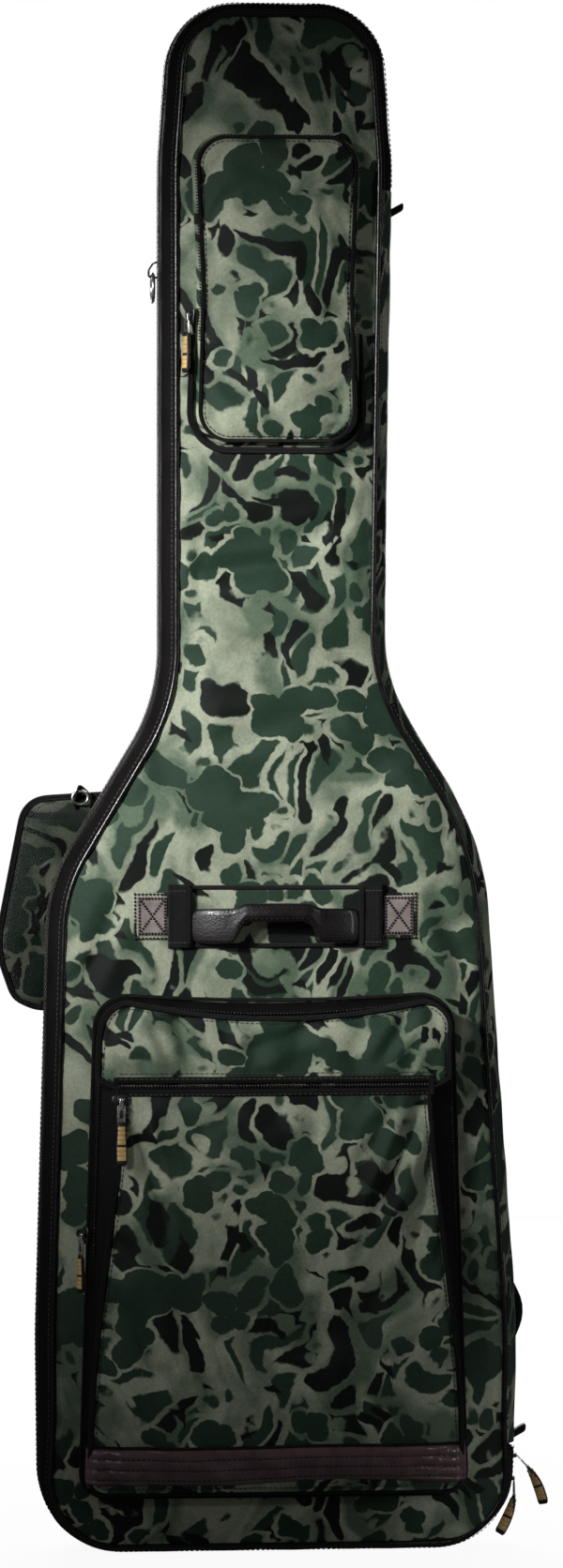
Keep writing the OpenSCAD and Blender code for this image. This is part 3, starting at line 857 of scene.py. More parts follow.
TAPE_Y = 13.0  # edge of the zip's tape
RIM_IN = 11.0  # inset of the rim's inner face
LINING_Y = 22.5
EDGE_Y = HALF_D - 0.5


def half_wall_sections(side):
    """Cross-section of one zipped half, from its piping round the rim to its lining."""
    out = []
    for t in np.linspace(0, 1, 9):
        y = EDGE_Y - t * (EDGE_Y - TAPE_Y)
        out.append((side * y, wall_inset(y) - 0.5 * smooth(0.8, 1, t), 0, 2.2 * math.sin(math.pi * t)))
    out.append((side * (TAPE_Y - 0.5), wall_inset(TAPE_Y) + 0.9, 1, 0.0))
    for y in (TAPE_Y - 4, 6.0, 3.0, 1.6):
        out.append((side * y, wall_inset(y) + 0.9, 1, 0.0))
    out.append((side * 1.4, 2.2, 2, 0.0))
    for t in np.linspace(0, 1, 5):
        out.append((side * (1.4 + 1.4 * math.sin(math.pi * t)), 2.4 + t * (RIM_IN - 2.4), 2, 0.0))
    for y in (4.0, 9.0, 15.0, 20.0, LINING_Y):
        out.append((side * y, RIM_IN + 0.6, 2, -1.2 * math.sin(math.pi * y / LINING_Y)))
    return out


def hinge_sections():
    """Cross-section of the unbroken wall: cloth outside, lining inside."""
    out = []
    for t in np.linspace(0, 1, 31):
        y = -EDGE_Y + t * 2 * EDGE_Y
        out.append((y, wall_inset(y), 0, 1.0 * math.sin(math.pi * t) + 0.8 * math.sin(2 * math.pi * t) ** 2))
    for t in np.linspace(0, 1, 17):
        y = LINING_Y - t * 2 * LINING_Y
        out.append((y, RIM_IN + 0.6, 1, -1.0 * math.sin(math.pi * t)))
    return out


right = bag.p[:, 0] > 40
height = bag.p[:, 1]
hinge_mask = right & (height > HINGE_LOW - 3) & (height < HINGE_TOP + 3)
zip_mask = ~(right & (height > HINGE_LOW) & (height < HINGE_TOP))

lid_wall = wall("lid_side_wall", zip_mask, half_wall_sections(-1), [BLACK, TAPE, LINING])
shell_wall = wall("shell_side_wall", zip_mask, half_wall_sections(1), [CAMO_SIDE, TAPE, LINING])
hinge_wall = wall("hinge_side_wall", hinge_mask, hinge_sections(), [CAMO_SIDE, LINING])


def face_outward(obj):
    """Makes a mesh's faces all point out."""
    bm = bmesh.new()
    bm.from_mesh(obj.data)
    bmesh.ops.recalc_face_normals(bm, faces=bm.faces)
    bm.to_mesh(obj.data)
    bm.free()


for obj in (lid_wall, shell_wall, hinge_wall):
    face_outward(obj)
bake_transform(hinge_wall)
for obj, body in ((front, "lid"), (lid_wall, "lid"), (back, "shell"), (shell_wall, "shell")):
    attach(obj, body)


def stands_for(obj, slot, *nodes):
    """Hides the CAD nodes a piece stands for; slot is not used."""
    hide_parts(*nodes)
    return obj


stands_for(front, "camo_cloth", "front_panel", "front_padding")
stands_for(back, "camo_cloth", "back_panel", "back_padding")
stands_for(lid_wall, "black_cloth", "front_gusset", "front_side_padding", "main_zip_front")
stands_for(shell_wall, "camo_cloth", "back_gusset", "back_side_padding", "main_zip_back")
stands_for(hinge_wall, "camo_cloth", "hinge_gusset")


def outward(loop):
    """Outward directions of a loop in 3-D."""
    return np.stack([-loop.m[:, 0], loop.m[:, 0] * 0, -loop.m[:, 1]], 1)


def piping(name, y, radius, body, node):
    """Cord round a panel's edge with the row of stitches that holds it."""
    parts = Parts()
    parts.add(*tube(loop_points(bag, bag_inset - 0.5, y), radius, 10, True))
    side = 1 if y > 0 else -1
    line = loop_points(bag, bag_inset - 3.6, side * (HALF_D - 0.8))
    stitch_row(parts, line, outward(bag) + (0, side, 0), closed=True, lift=0.9)
    return stands_for(parts.make(name, [PIPING, GREY_THREAD], body), "piping", node)


piping("front_piping_cord", -HALF_D - 0.9, 2.3, "lid", "front_piping")
piping("back_piping_cord", HALF_D + 0.7, 2.2, "shell", "back_piping")


def loop_teeth(parts, loop, d, y, skip, shape=None, pitch=2.6, size=(1.3, 1.8, 1.5), shift=0.0):
    """Row of zip teeth along a loop, left out where skip says and moved by shape if one is given."""
    verts, faces = round_box(size, 0.3, 1)
    dense = resample(loop_points(loop, d, y), pitch, True)
    index = np.linspace(0, loop.n, len(dense), endpoint=False).astype(int)
    for i, start, p in zip(index, dense, shape(dense) if shape else dense):
        if skip(start):
            continue
        inward = np.array((loop.m[i, 0], 0, loop.m[i, 1]))
        along = np.cross(inward, (0, 1, 0))
        parts.add(verts @ np.stack([along, (0, 1, 0), inward], 0) + p + along * shift, faces)


def on_hinge_side(p):
    """True where the wall is unbroken and has no zip."""
    return p[0] > 40 and HINGE_LOW - 2 < p[2] < HINGE_TOP + 2


def main_teeth(name, side, body):
    """Half of the main zip's teeth, with the stitches that hold its tape."""
    parts = Parts()
    shift = 1.3 if side > 0 else 0  # the two halves' teeth stand in each other's gaps
    loop_teeth(parts, bag, -0.1, side * 1.1, on_hinge_side, size=(1.25, 3.4, 1.7), shift=shift)
    keep = ~np.array([on_hinge_side(p) for p in loop_points(bag, 0, 0)])
    order = np.roll(np.arange(bag.n), -int(np.nonzero(~keep)[0][-1]) - 1)
    run = order[keep[order]]
    for y in (TAPE_Y + 1.5, TAPE_Y + 4.0):
        line = loop_points(bag, wall_inset(y) - 1.2, side * y)[run]
        stitch_row(parts, line, outward(bag)[run], lift=0.35)
    parts.make(name, [TEETH, GREY_THREAD], body)


main_teeth("main_zip_teeth_front", -1, "lid")
main_teeth("main_zip_teeth_back", 1, "shell")


def rounded_bar(size, bevel, place, segments=2):
    """Rounded box at a place."""
    verts, faces = round_box(size, bevel, segments)
    return verts + np.asarray(place, float), faces


tabs = Parts()
for x, z in ((95.2, 1057.5), (193.75, 86)):
    fold, faces = rounded_bar((15, 13, 6.5), 2.6, (0, 0, 0), 3)
    fold[:, 2] += 0.55 * fold[:, 0]
    tabs.add(fold * (1, 0.75, 1) + (x, 0, z + 2.0), faces)
    line = [(x + 5.6, y, z + 5.0) for y in (-4.2, 4.2)]
    stitch_row(tabs, line, (1, 0, 0), pitch=3.0, length=2.0, lift=1.4)
stands_for(tabs.make("zip_end_tab_pair", [BINDING, GREY_THREAD], "shell"), "black_cloth", "zip_end_tabs")

# ---------------------------------------------------------------- large pocket and head pocket


def pocket_ring(name, loop, profile, mat, body=None, shape=None):
    """Ring of pocket wall. profile: (y, inset) from front to back; inset may be an array."""
    verts = np.stack([loop_points(loop, d, y) for y, d in profile], 1).reshape(-1, 3)
    if shape:
        verts = shape(verts)
    obj = make(name, verts, grid_faces(loop.n, len(profile), True), mat)
    face_outward(obj)
    if body:
        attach(obj, body)
    return obj


def profile_line(y0, d0, y1, d1, steps=2, puff=0.0):
    """Cross-section samples from one place to another, bulging outwards by puff."""
    return [
        (y0 + t * (y1 - y0), d0 + t * (d1 - d0) - puff * math.sin(math.pi * t))
        for t in np.linspace(0, 1, steps)
    ]


POCKET_ZIP_Y = box_mm("pocket_zip")[0][1] + 0.2
FOLD_Z = joints["pocket_front_fold"]["pos_m"][2] / MM
HEAD_ZIP_Y = box_mm("head_zip")[0][1] + 0.2
HEAD_FOLD_Z = joints["head_front_fold"]["pos_m"][2] / MM
face_in = pocket_inset(pocket.p)

pocket_wall_front = pocket_ring(
    "pocket_wall_front", pocket,
    profile_line(POCKET_FACE + 1, face_in, POCKET_ZIP_Y - 1.2, 4.6, 7, 1.2)
    + profile_line(POCKET_ZIP_Y - 1.1, 5.0, POCKET_ZIP_Y - 0.9, 9.0),
    BLACK, None, pocket_sag)
pocket_wall_back = pocket_ring(
    "pocket_wall_back", pocket,
    profile_line(POCKET_ZIP_Y + 0.9, 9.0, POCKET_ZIP_Y + 1.1, 4.8)
    + profile_line(POCKET_ZIP_Y + 1.2, 4.4, -HALF_D + 1, 0.0, 7, 1.8),
    BLACK, "lid", pocket_sag)
head_wall_front = pocket_ring(
    "head_pocket_wall_front", head_pocket,
    profile_line(HEAD_FACE + 1, HEAD_INSET, HEAD_ZIP_Y - 0.9, 3.6, 4, 0.4)
    + profile_line(HEAD_ZIP_Y - 0.8, 4.0, HEAD_ZIP_Y - 0.7, 7.0), CAMO_SIDE)
head_wall_back = pocket_ring(
    "head_pocket_wall_back", head_pocket,
    profile_line(HEAD_ZIP_Y + 0.7, 7.0, HEAD_ZIP_Y + 0.8, 3.8)
    + profile_line(HEAD_ZIP_Y + 0.9, 3.4, -HALF_D + 1, 0.0, 5, 0.8), CAMO_SIDE, "lid")


def fold_blend(obj):
    """Bakes where a piece of a pocket's front stands into its mesh."""
    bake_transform(obj)


parts = Parts()
loop_teeth(parts, pocket, 3.6, POCKET_ZIP_Y, lambda p: p[2] < FOLD_Z - 4, pocket_sag)
stands_for(parts.make("pocket_zip_teeth", [TEETH], "lid"), "zip_tape", "pocket_zip")
parts = Parts()
loop_teeth(parts, head_pocket, 2.8, HEAD_ZIP_Y, lambda p: p[2] < HEAD_FOLD_Z - 2, None, 2.4, (1.2, 1.5, 1.3))
stands_for(parts.make("head_zip_teeth", [TEETH], "lid"), "zip_tape", "head_zip")


BAND_TOP, BAND_LOW = 88.0, box_mm("pocket_base_band")[0][2]
# The pocket's edge binding dives under the kick band
edge_y = POCKET_FACE - 0.2 + 5.5 * (1 - smooth(BAND_TOP - 8, BAND_TOP, pocket.p[:, 1]))


def face_cord(name, loop, d, y, radius, stitch_in, surface, shape=None):
    """Bound edge round a pocket's face, with stitches on the cloth beside it."""
    parts = Parts()
    path = loop_points(loop, d, y)
    line = loop_points(loop, d + stitch_in, y)
    if shape:
        path, line = shape(path), shape(line)
    parts.add(*tube(path, radius, 10, True))
    line = surface.lay(line[:, [0, 2]], float(np.min(y)), 0.1)
    stitch_row(parts, line, (0, -1, 0), closed=True)
    return parts.make(name, [BINDING, THREAD])


pocket_edge = face_cord("pocket_edge_binding", pocket, face_in - 0.8, edge_y, 2.3, 4.2, pocket_surface,
                        pocket_sag)
head_edge = face_cord("head_pocket_edge_binding", head_pocket, HEAD_INSET - 0.6, HEAD_FACE, 1.5, 3.2,
                      Surface(head_cloth))
for obj in (pocket_cloth, pocket_wall_front, pocket_edge):
    fold_blend(obj)
for obj in (head_cloth, head_wall_front, head_edge):
    fold_blend(obj)
stands_for(pocket_cloth, "camo_cloth", "pocket_flap", "pocket_lower")
stands_for(pocket_edge, "black_cloth", "pocket_binding")
stands_for(pocket_wall_back, "black_cloth", "pocket_gusset")
stands_for(head_cloth, "camo_cloth", "head_flap", "head_lower")
stands_for(head_wall_back, "black_cloth", "head_gusset")

# Cord where the large pocket's wall is sewn to the front panel
parts = Parts()
seam_path = pocket_sag(loop_points(pocket, -0.6, -HALF_D))
seam_path[:, 1] = front_surface.lay(seam_path[:, [0, 2]], -HALF_D, 0.6)[:, 1]
parts.add(*tube(seam_path, 1.5, 8, True))
parts.make("pocket_seam_cord", [BINDING], "lid")

# Thick binding under the head pocket, tapering out where its zip begins
parts = Parts()
low = head_pocket.p[:, 1] < HEAD_FOLD_Z + 4
start_at = int(np.nonzero(~low)[0][-1]) + 1
order = np.roll(np.arange(head_pocket.n), -start_at)
order = order[low[order]]
bind = loop_points(head_pocket, -2.4, HEAD_ZIP_Y + 4)[order]
taper = smooth(0, 14, np.arange(len(order)))
taper = np.minimum(taper, taper[::-1])
parts.add(*tube(bind, 1.4 + 1.5 * taper, 10))
stands_for(parts.make("head_pocket_base_binding", [BINDING], "lid"), "black_cloth", "head_binding")

# Straight zip across the pocket: two tapes, the coil between them and the stitches outside them
ZIP_LEFT, ZIP_RIGHT = -130.0, 118.0
TAPE_LOW, TAPE_HIGH = FLAT_ZIP - 8.0, FLAT_ZIP + 7.5
xs = np.linspace(ZIP_LEFT, ZIP_RIGHT, 64)
parts = Parts()
for z0, z1 in ((TAPE_LOW, FLAT_ZIP - 1.5), (FLAT_ZIP + 1.5, TAPE_HIGH)):
    zs = z0 + (z1 - z0) * np.array((0.0, 0.06, 0.2, 0.5, 0.8, 0.94, 1.0))
    lift = np.array((-0.8, 0.8, 1.5, 1.9, 1.6, 1.2, -0.2)) + 0.3
    rows = [pocket_surface.lay([(x, z) for x in xs], POCKET_FACE, 0) - (0, h, 0) for z, h in zip(zs, lift)]
    parts.add(np.concatenate(rows), grid_faces(len(zs), len(xs)))
verts, faces = round_box((1.25, 1.8, 3.2), 0.35, 1)
for x in np.arange(ZIP_LEFT + 3, ZIP_RIGHT - 2, 2.3):
    parts.add(verts + (x, pocket_surface.y(x, FLAT_ZIP, POCKET_FACE) - 1.3, FLAT_ZIP), faces, 1)
for z in (TAPE_LOW + 1.6, TAPE_HIGH - 1.6, TAPE_HIGH + 2.6):
    line = pocket_surface.lay([(x, z) for x in xs[1:-1]], POCKET_FACE, 1.9 if z < TAPE_HIGH else 0.1)
    stitch_row(parts, line, (0, -1, 0), mat=2)
for x in (ZIP_LEFT + 0.5, ZIP_RIGHT - 0.5):
    place = (x, pocket_surface.y(x, FLAT_ZIP, POCKET_FACE) - 1.2, FLAT_ZIP)
    parts.add(*rounded_bar((5, 4, TAPE_HIGH - TAPE_LOW), 1.4, place), 3)
straight_zip = parts.make("pocket_straight_zip", [TAPE, TEETH, GREY_THREAD, BINDING], "pocket_front")
stands_for(straight_zip, "zip_tape", "flat_zip")

# Ribbed leatherette kick band round the foot of the pocket
u = np.linspace(-1, 1, 121)
v = np.linspace(0, 1, 41)
zs = BAND_TOP - (BAND_TOP - BAND_LOW) * v
left, right = pocket.edges(np.maximum(zs, BAND_LOW + 3), 1.6)
half = (right - left) / 2
ribs = 1 - np.abs(np.cos(math.pi * 4 * v)) ** 6
at_end = 0.30 + 0.70 * smooth(0.62, 0.86, np.abs(u))
grow = np.sin(math.pi * np.clip(v, 0, 1)) ** 0.35
tuck = smooth(0.93, 1.0, np.abs(u))
verts = []
for i, z in enumerate(zs):
    x = POCKET_X + half[i] * u
    curve = 4.2 * grow[i] + 1.5 * ribs[i] * at_end * grow[i]
    inside = np.clip(x, left[i] + 9, right[i] - 9)
    cloth_y = np.array([pocket_surface.y(px, z, POCKET_FACE) for px in inside])
    under = 7.0 * (1 - smooth(BAND_LOW, BAND_LOW + 7, z))
    y = np.minimum(cloth_y, POCKET_FACE + 1.5) - 0.6 - curve + 9.0 * tuck ** 2 + under
    wave = (1.6 * np.sin(2.2 * u + 0.8) + 1.1 * np.sin(5.1 * u)) * (0.4 + 0.6 * v[i])
    verts.append(np.stack([x, y, z + wave + 1.0], 1))
band_faces = grid_faces(len(zs), len(u))
parts = Parts()
parts.add(np.concatenate(verts), band_faces[:, ::-1])
top_line = verts[0] + (0, -1.4, 1.0)
parts.add(*tube(top_line, 1.1, 8), 1)
for i in (10, 20, 30):
    stitch_row(parts, verts[i][4:-4] + (0, -0.1, 0), (0, -1, 0), mat=2)
kick_band = parts.make("pocket_kick_band", [LEATHER, BINDING, THREAD], "lid")
stands_for(kick_band, "leatherette", "pocket_base_band")


# ---------------------------------------------------------------- handle


def edge_lines(lo, hi, step, lip=1.2):
    """Grid lines between two values, close together at both ends where a patch's edge turns down."""
    middle = np.linspace(lo + lip, hi - lip, max(2, int((hi - lo) / step)))
    turn = lip * np.array((0, 0.2, 0.55))
    return np.concatenate([lo + turn, middle, hi - turn[::-1]])


def sewn_patch(parts, surface, x0, x1, z0, z1, thick, default, lift=0.0, mat=0, step=4.0):
    """Flat patch lying on a sheet, its edges turned down onto it."""
    xs, zs = edge_lines(x0, x1, step), edge_lines(z0, z1, step)
    gap = np.minimum.outer(np.minimum(zs - z0, z1 - zs), np.minimum(xs - x0, x1 - xs))
    rise = thick * np.sqrt(1 - (1 - np.clip(gap / 1.2, 0, 1)) ** 2) - 0.5 * (gap <= 0)
    verts = [
        (x, surface.y(x, z, default) + surface.side * (lift + rise[i, k]), z)
        for i, z in enumerate(zs) for k, x in enumerate(xs)
    ]
    faces = grid_faces(len(zs), len(xs))
    parts.add(verts, faces if surface.side < 0 else faces[:, ::-1], mat)


def stitched_box(parts, surface, x0, x1, z0, z1, default, lift, mat, cross=True, pitch=3.2, width=0.9):
    """Box-and-X stitching over a patch."""
    corners = [(x0, z0), (x1, z0), (x1, z1), (x0, z1), (x0, z0)]
    runs = list(zip(corners, corners[1:]))
    if cross:
        runs += [(corners[0], corners[2]), (corners[1], corners[3])]
    for a, b in runs:
        line = [(a[0] + (b[0] - a[0]) * t, a[1] + (b[1] - a[1]) * t) for t in np.linspace(0, 1, 12)]
        stitch_row(parts, surface.lay(line, default, lift), (0, surface.side, 0), pitch, pitch * 0.72, width,
                   mat=mat)


HANDLE_X = -3.0
FRONT_Y = -HALF_D - 4
parts = Parts()
sewn_patch(parts, front_surface, HANDLE_X - 83, HANDLE_X + 83, 479, 525.5, 1.4, FRONT_Y, 0, 0, 5.0)
for z in (479.5, 525):
    line = front_surface.lay([(x, z) for x in np.linspace(HANDLE_X - 83, HANDLE_X + 83, 40)], FRONT_Y, 1.3)
    parts.add(*tube(line, 1.9, 8), 1)
stands_for(parts.make("handle_backing", [CAMO, BINDING], "lid"), "camo_cloth", "handle_patch")

parts = Parts()
for side in (-1, 1):
    mid = HANDLE_X + side * 97
    sewn_patch(parts, front_surface, mid - 14.5, mid + 14.5, 484, 521, 1.0, FRONT_Y, 0, 1)
    sewn_patch(parts, front_surface, mid - 12, mid + 12, 487, 518.5, 1.5, FRONT_Y, 0.6, 0)
    stitched_box(parts, front_surface, mid - 10, mid + 10, 489, 516.5, FRONT_Y, 2.3, 2, True, 2.4, 1.9)
    stitched_box(parts, front_surface, mid - 13.4, mid + 13.4, 485.2, 519.8, FRONT_Y, 1.2, 2, False, 3.0,
                 1.7)
x_patches = parts.make("handle_x_patch_pair", [TAUPE, CAMO, THREAD], "lid")
stands_for(x_patches, "taupe_webbing", "handle_x_patches")

parts = Parts()
TAB_MID = 75.5
for side in (-1, 1):
    mid = HANDLE_X + side * TAB_MID
    sewn_patch(parts, front_surface, mid - 9, mid + 9, 477.5, 527.5, 4.6, FRONT_Y, 0.8, 0, 3.0)
    for z in (482, 522.5):
        line = front_surface.lay([(mid - 7, z), (mid + 7, z)], FRONT_Y, 5.5)
        stitch_row(parts, line, (0, -1, 0), 3.0, 2.2)
    fold = front_surface.lay([(mid - side * 7.5, z) for z in np.linspace(480, 525, 16)], FRONT_Y, 4.4)
    parts.add(*tube(fold, 2.6, 10), 0)
stands_for(parts.make("handle_tab_pair", [WEBBING, GREY_THREAD], "lid"), "webbing", "handle_tabs")


def superellipse(n, power=4.0):
    """Unit rounded rectangle as (across, out) rows."""
    angle = full_turn(n)
    c, s = np.cos(angle), np.sin(angle)
    return np.stack([np.sign(c) * np.abs(c) ** (2 / power), np.sign(s) * np.abs(s) ** (2 / power)], 1)


def strip(path, across, thick, side=(0, 1, 0), n=16, power=4.0):
    """Band with a rounded-rectangle section along a path; side is its thin direction."""
    path = np.asarray(path, float)
    _, a, b = frames_along(path, side)
    ring = superellipse(n, power)
    across = np.ones(len(path)) * across / 2
    thick = np.ones(len(path)) * thick / 2
    rings = [p + ring[:, :1] * across[i] * b[i] + ring[:, 1:] * thick[i] * a[i] for i, p in enumerate(path)]
    return loft(rings)


# Grip: flat ends under the tabs, bowed out and rolled round in the middle
AXIS_Y = joints["handle_swing"]["pos_m"][1] / MM
GRIP_REACH = 69.0
GRIP_SIDES = 24
sx = np.linspace(-1, 1, 65)
bow = 21.0 * np.clip(1 - np.abs(sx) ** 2.4, 0, 1) ** 0.8
rolled = 1 - smooth(0.34, 0.52, np.abs(sx))
grip_mid = 494.5 + 10.0 * rolled + 1.5 * (1 - sx ** 2)
grip_tall = (27.0 - 12.5 * rolled) * (1 - 0.35 * smooth(0.88, 1.0, np.abs(sx)))
grip_thick = 4.2 + 5.0 * rolled
path = np.stack([HANDLE_X + GRIP_REACH * sx, AXIS_Y - 1.0 - bow, grip_mid], 1)
ring = superellipse(GRIP_SIDES, 2.6)
rings = []
for i, p in enumerate(path):
    out = np.array((-np.gradient(path[:, 1], path[:, 0])[i], 1.0, 0))
    out /= np.linalg.norm(out)
    ridges = 1 + 0.10 * np.cos(7 * full_turn(GRIP_SIDES)) * (0.4 + 0.6 * rolled[i])
    thick = ring[:, 1:] * out * grip_thick[i] / 2 * ridges[:, None]
    rings.append(p + ring[:, :1] * (0, 0, grip_tall[i] / 2) + thick)
parts = Parts()
parts.add(*loft(rings))
for offset in (0.62, -0.62):
    line = path + np.stack([sx * 0, -grip_thick * 0.42, grip_tall / 2 * offset], 1)
    stitch_row(parts, line[6:-6], (0, -1, 0), lift=0.3)
grip = parts.make("handle_grip_roll", [GRIP, THREAD])
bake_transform(grip)
stands_for(grip, "leatherette", "handle_grip")

# ---------------------------------------------------------------- shoulder straps


def rounded_path(points, step=4.0):
    """Open (x, z) path with its corners rounded, evenly spaced."""
    out = [np.array(points[0][:2], float)]
    for a, b, c in zip(points, points[1:], points[2:]):
        a, r, b, c = np.array(a[:2], float), b[2], np.array(b[:2], float), np.array(c[:2], float)
        u, w = (a - b) / np.linalg.norm(a - b), (c - b) / np.linalg.norm(c - b)
        opening = math.acos(np.clip(u @ w, -1, 1))
        for t in np.linspace(0, 1, 12):
            p, q = b + u * r / math.tan(opening / 2), b + w * r / math.tan(opening / 2)
            centre = b + (u + w) / np.linalg.norm(u + w) * r / math.sin(opening / 2)
            d = (1 - t) * (p - centre) + t * (q - centre)
            out.append(centre + d / np.linalg.norm(d) * r)
    out.append(np.array(points[-1][:2], float))
    flat = np.array([(x, 0, z) for x, z in out])
    return resample(flat, step)


STRAP_Y = 47.0
PAD_Y = 49.0
PAD_STATIONS = 84
# Each strap: the pad's outer and inner edge, the webbing above and below it, and where the low one leaves it
STRAPS = {
    "left": ([(-60, 600, 0), (-195, 592, 20), (-218, 474, 62), (-204, 434, 12), (-188, 427, 0)],
             [(-60, 548, 0), (-146, 536, 26), (-150, 424, 0)],
             [(-26, 584.5, 0), (-72, 579, 0)], [(-166.2, 452, 0), (-157.6, 96, 0)], (-166, 445)),
    "right": ([(60, 611, 0), (136, 597, 30), (158, 470, 60), (156, 428, 0)],
              [(60, 549, 0), (94, 538, 20), (97, 426, 0)],
              [(26, 584.5, 0), (72, 579, 0)],
              [(126.4, 452, 0), (142, 290, 90), (195, 180, 22), (162, 100, 0)], (127, 445)),
}


def pad(name, outer, inner, body):
    """Padded strap between two edge lines: two crowned faces sewn into a bound edge."""
    fine = [rounded_path(line, 0.8) for line in (outer, inner)]
    left, right = (f[np.linspace(0, len(f) - 1, PAD_STATIONS).astype(int)] for f in fine)
    left[:, 1] = right[:, 1] = PAD_Y
    middle = (left + right) / 2
    s = np.concatenate([[0], np.cumsum(np.linalg.norm(np.diff(middle, axis=0), axis=1))])
    far = np.minimum(s, s[-1] - s)
    vs = np.linspace(-1, 1, 21)
    crown = 5.6 * (1 - np.abs(vs) ** 2.6) ** 0.8
    rings = []
    for i in range(PAD_STATIONS):
        line = middle[i] + np.outer(vs, (left[i] - right[i]) / 2)
        wrinkle = 1.1 * noise_at(line, 24.0, 5.0) + 0.8 * noise_at(line * (1.0, 1.0, 2.6), 34.0, 9.0)
        full = smooth(-3, 14, far[i])
        rise = np.outer(0.7 + np.maximum(0, crown + wrinkle * (1 - vs ** 2)) * full, (0, 1, 0))
        rings.append(np.concatenate([line + rise, (line - rise)[::-1]]))
    parts = Parts()
    parts.add(*loft(rings))
    rim = resample(np.concatenate([left, right[::-1]]), 3.0, True)
    for _ in range(2):
        rim = (np.roll(rim, 1, 0) + rim * 2 + np.roll(rim, -1, 0)) / 4
    parts.add(*tube(rim, 3.2, 10, True), 1)
    for line, other in ((left, right), (right, left)):
        inward = (other - line) / np.linalg.norm(other - line, axis=1, keepdims=True)
        for out in (-1, 1):
            seam = (line + inward * 5.2)[3:-3] + (0, 2.6 * out, 0)
            stitch_row(parts, seam, (0, out, 0), mat=2, lift=0.5)
    obj = parts.make(name, [CAMO_STRAP_SHADED, BINDING, GREY_THREAD], body)
    face_outward(obj)
    return obj


LOCK_DROP = 126.0


def ladder_lock(name, web, start, body):
    """Three-bar adjuster threaded on the webbing, a set drop below where the webbing leaves the pad."""
    a, b = np.array(web[0][:2], float), np.array(web[1][:2], float)
    run = (b - a) / np.linalg.norm(b - a)
    at = start + run * LOCK_DROP
    lean = math.atan2(run[0], -run[1])
    turn = np.array(Matrix.Rotation(-lean, 3, "Y"))
    parts = Parts()
    for x in (-15.6, 15.6):
        parts.add(*rounded_bar((4.2, 6.8, 24), 1.6, (x, 0.3, 0), 3))
    for z, y in ((10.0, 3.0), (0.0, -3.1), (-10.0, 3.0)):
        parts.add(*rounded_bar((30, 2.2, 4.4), 0.9, (0, y, z), 3))
    for k in range(5):
        parts.add(*rounded_bar((26, 0.8, 0.8), 0.3, (0, 4.2, 8.4 + 0.9 * k)))
    parts.verts = [v @ turn.T + (at[0], STRAP_Y + 0.7, at[1]) for v in parts.verts]
    return parts.make(name, [BUCKLE], body)


for side, (outer_edge, inner_edge, web_top, web_low, web_start) in STRAPS.items():
    body = f"strap_{side}"
    stands_for(pad(f"strap_{side}_padding", outer_edge, inner_edge, body), "camo_cloth", f"strap_pad_{side}")
    parts = Parts()
    for line in (web_top, web_low):
        path = rounded_path(line)
        path[:, 1] = STRAP_Y
        parts.add(*strip(path, 25, 2.2))
        _, a, b = frames_along(path)
        for shift in (-9.5, 9.5):
            stitch_row(parts, path + b * shift - a * 1.1, (0, -1, 0), lift=0.15)
    stands_for(parts.make(f"strap_{side}_webbing", [WEBBING, THREAD], body), "webbing", f"strap_web_{side}")
    lock = ladder_lock(f"strap_{side}_ladder_lock", web_low, np.array(web_start, float), f"adjuster_{side}")
    stands_for(lock, "buckle_plastic", f"strap_buckle_{side}")

# Keeper loop and ring at the top edge of the left strap
HALF_TURN = np.linspace(-0.6, math.pi + 0.6, 24)
parts = Parts()
keeper = [(-150 + 7 * math.cos(t), 44.0 + 1.5 * math.sin(2 * t), 591 + 9 * math.sin(t)) for t in HALF_TURN]
parts.add(*strip(keeper, 9, 2.0, (1, 0, 0.3)))
circle = [(-152 + 6.2 * math.cos(t), 40.5, 594 + 5.2 * math.sin(t)) for t in full_turn(28)]
parts.add(*tube(circle, 1.15, 8, True), 1)
parts.make("strap_keeper_loop", [WEBBING, STEEL], "strap_left")

parts = Parts()
ANCHOR_Y = HALF_D + 2
sewn_patch(parts, back_surface, -54, 54, 564, 606, 2.2, ANCHOR_Y, 0.2)
for x in (-49, 3):
    stitched_box(parts, back_surface, x, x + 46, 569, 601, ANCHOR_Y, 2.5, 1)
for side in (-1, 1):
    mid = side * 161
    sewn_patch(parts, back_surface, mid - 15, mid + 15, 86, 126, 2.6, ANCHOR_Y, 0.2)
    stitched_box(parts, back_surface, mid - 11, mid + 11, 91, 112, ANCHOR_Y, 2.9, 1)
stands_for(parts.make("strap_anchor_patches", [WEBBING, GREY_THREAD], "shell"), "webbing", "strap_anchors")

# ---------------------------------------------------------------- hang loop and side ring

parts = Parts()
loop_y = HALF_D + 3.2
path = [(0, loop_y - 0.4, 1130), (0, loop_y - 0.2, 1142)]
path += [
    (0, loop_y + 14.2 * math.sin(t), 1168 - 14.8 * math.cos(t))
    for t in np.linspace(0.05, math.pi - 0.05, 30)
]
path += [(0, loop_y - 0.2, 1192), (0, loop_y - 0.4, 1199)]
parts.add(*strip(resample(path, 2.5), 25, 2.2, (0, 0.9, 0.2)))
sewn_patch(parts, back_surface, -16, 16, 1124, 1150, 1.6, ANCHOR_Y, 0.2)
sewn_patch(parts, back_surface, -16, 16, 1186, 1203, 1.6, ANCHOR_Y, 0.2)
stitched_box(parts, back_surface, -12, 12, 1128, 1144, ANCHOR_Y, 3.9, 1)
stands_for(parts.make("hang_loop_webbing", [WEBBING, GREY_THREAD], "shell"), "webbing", "hang_loop")

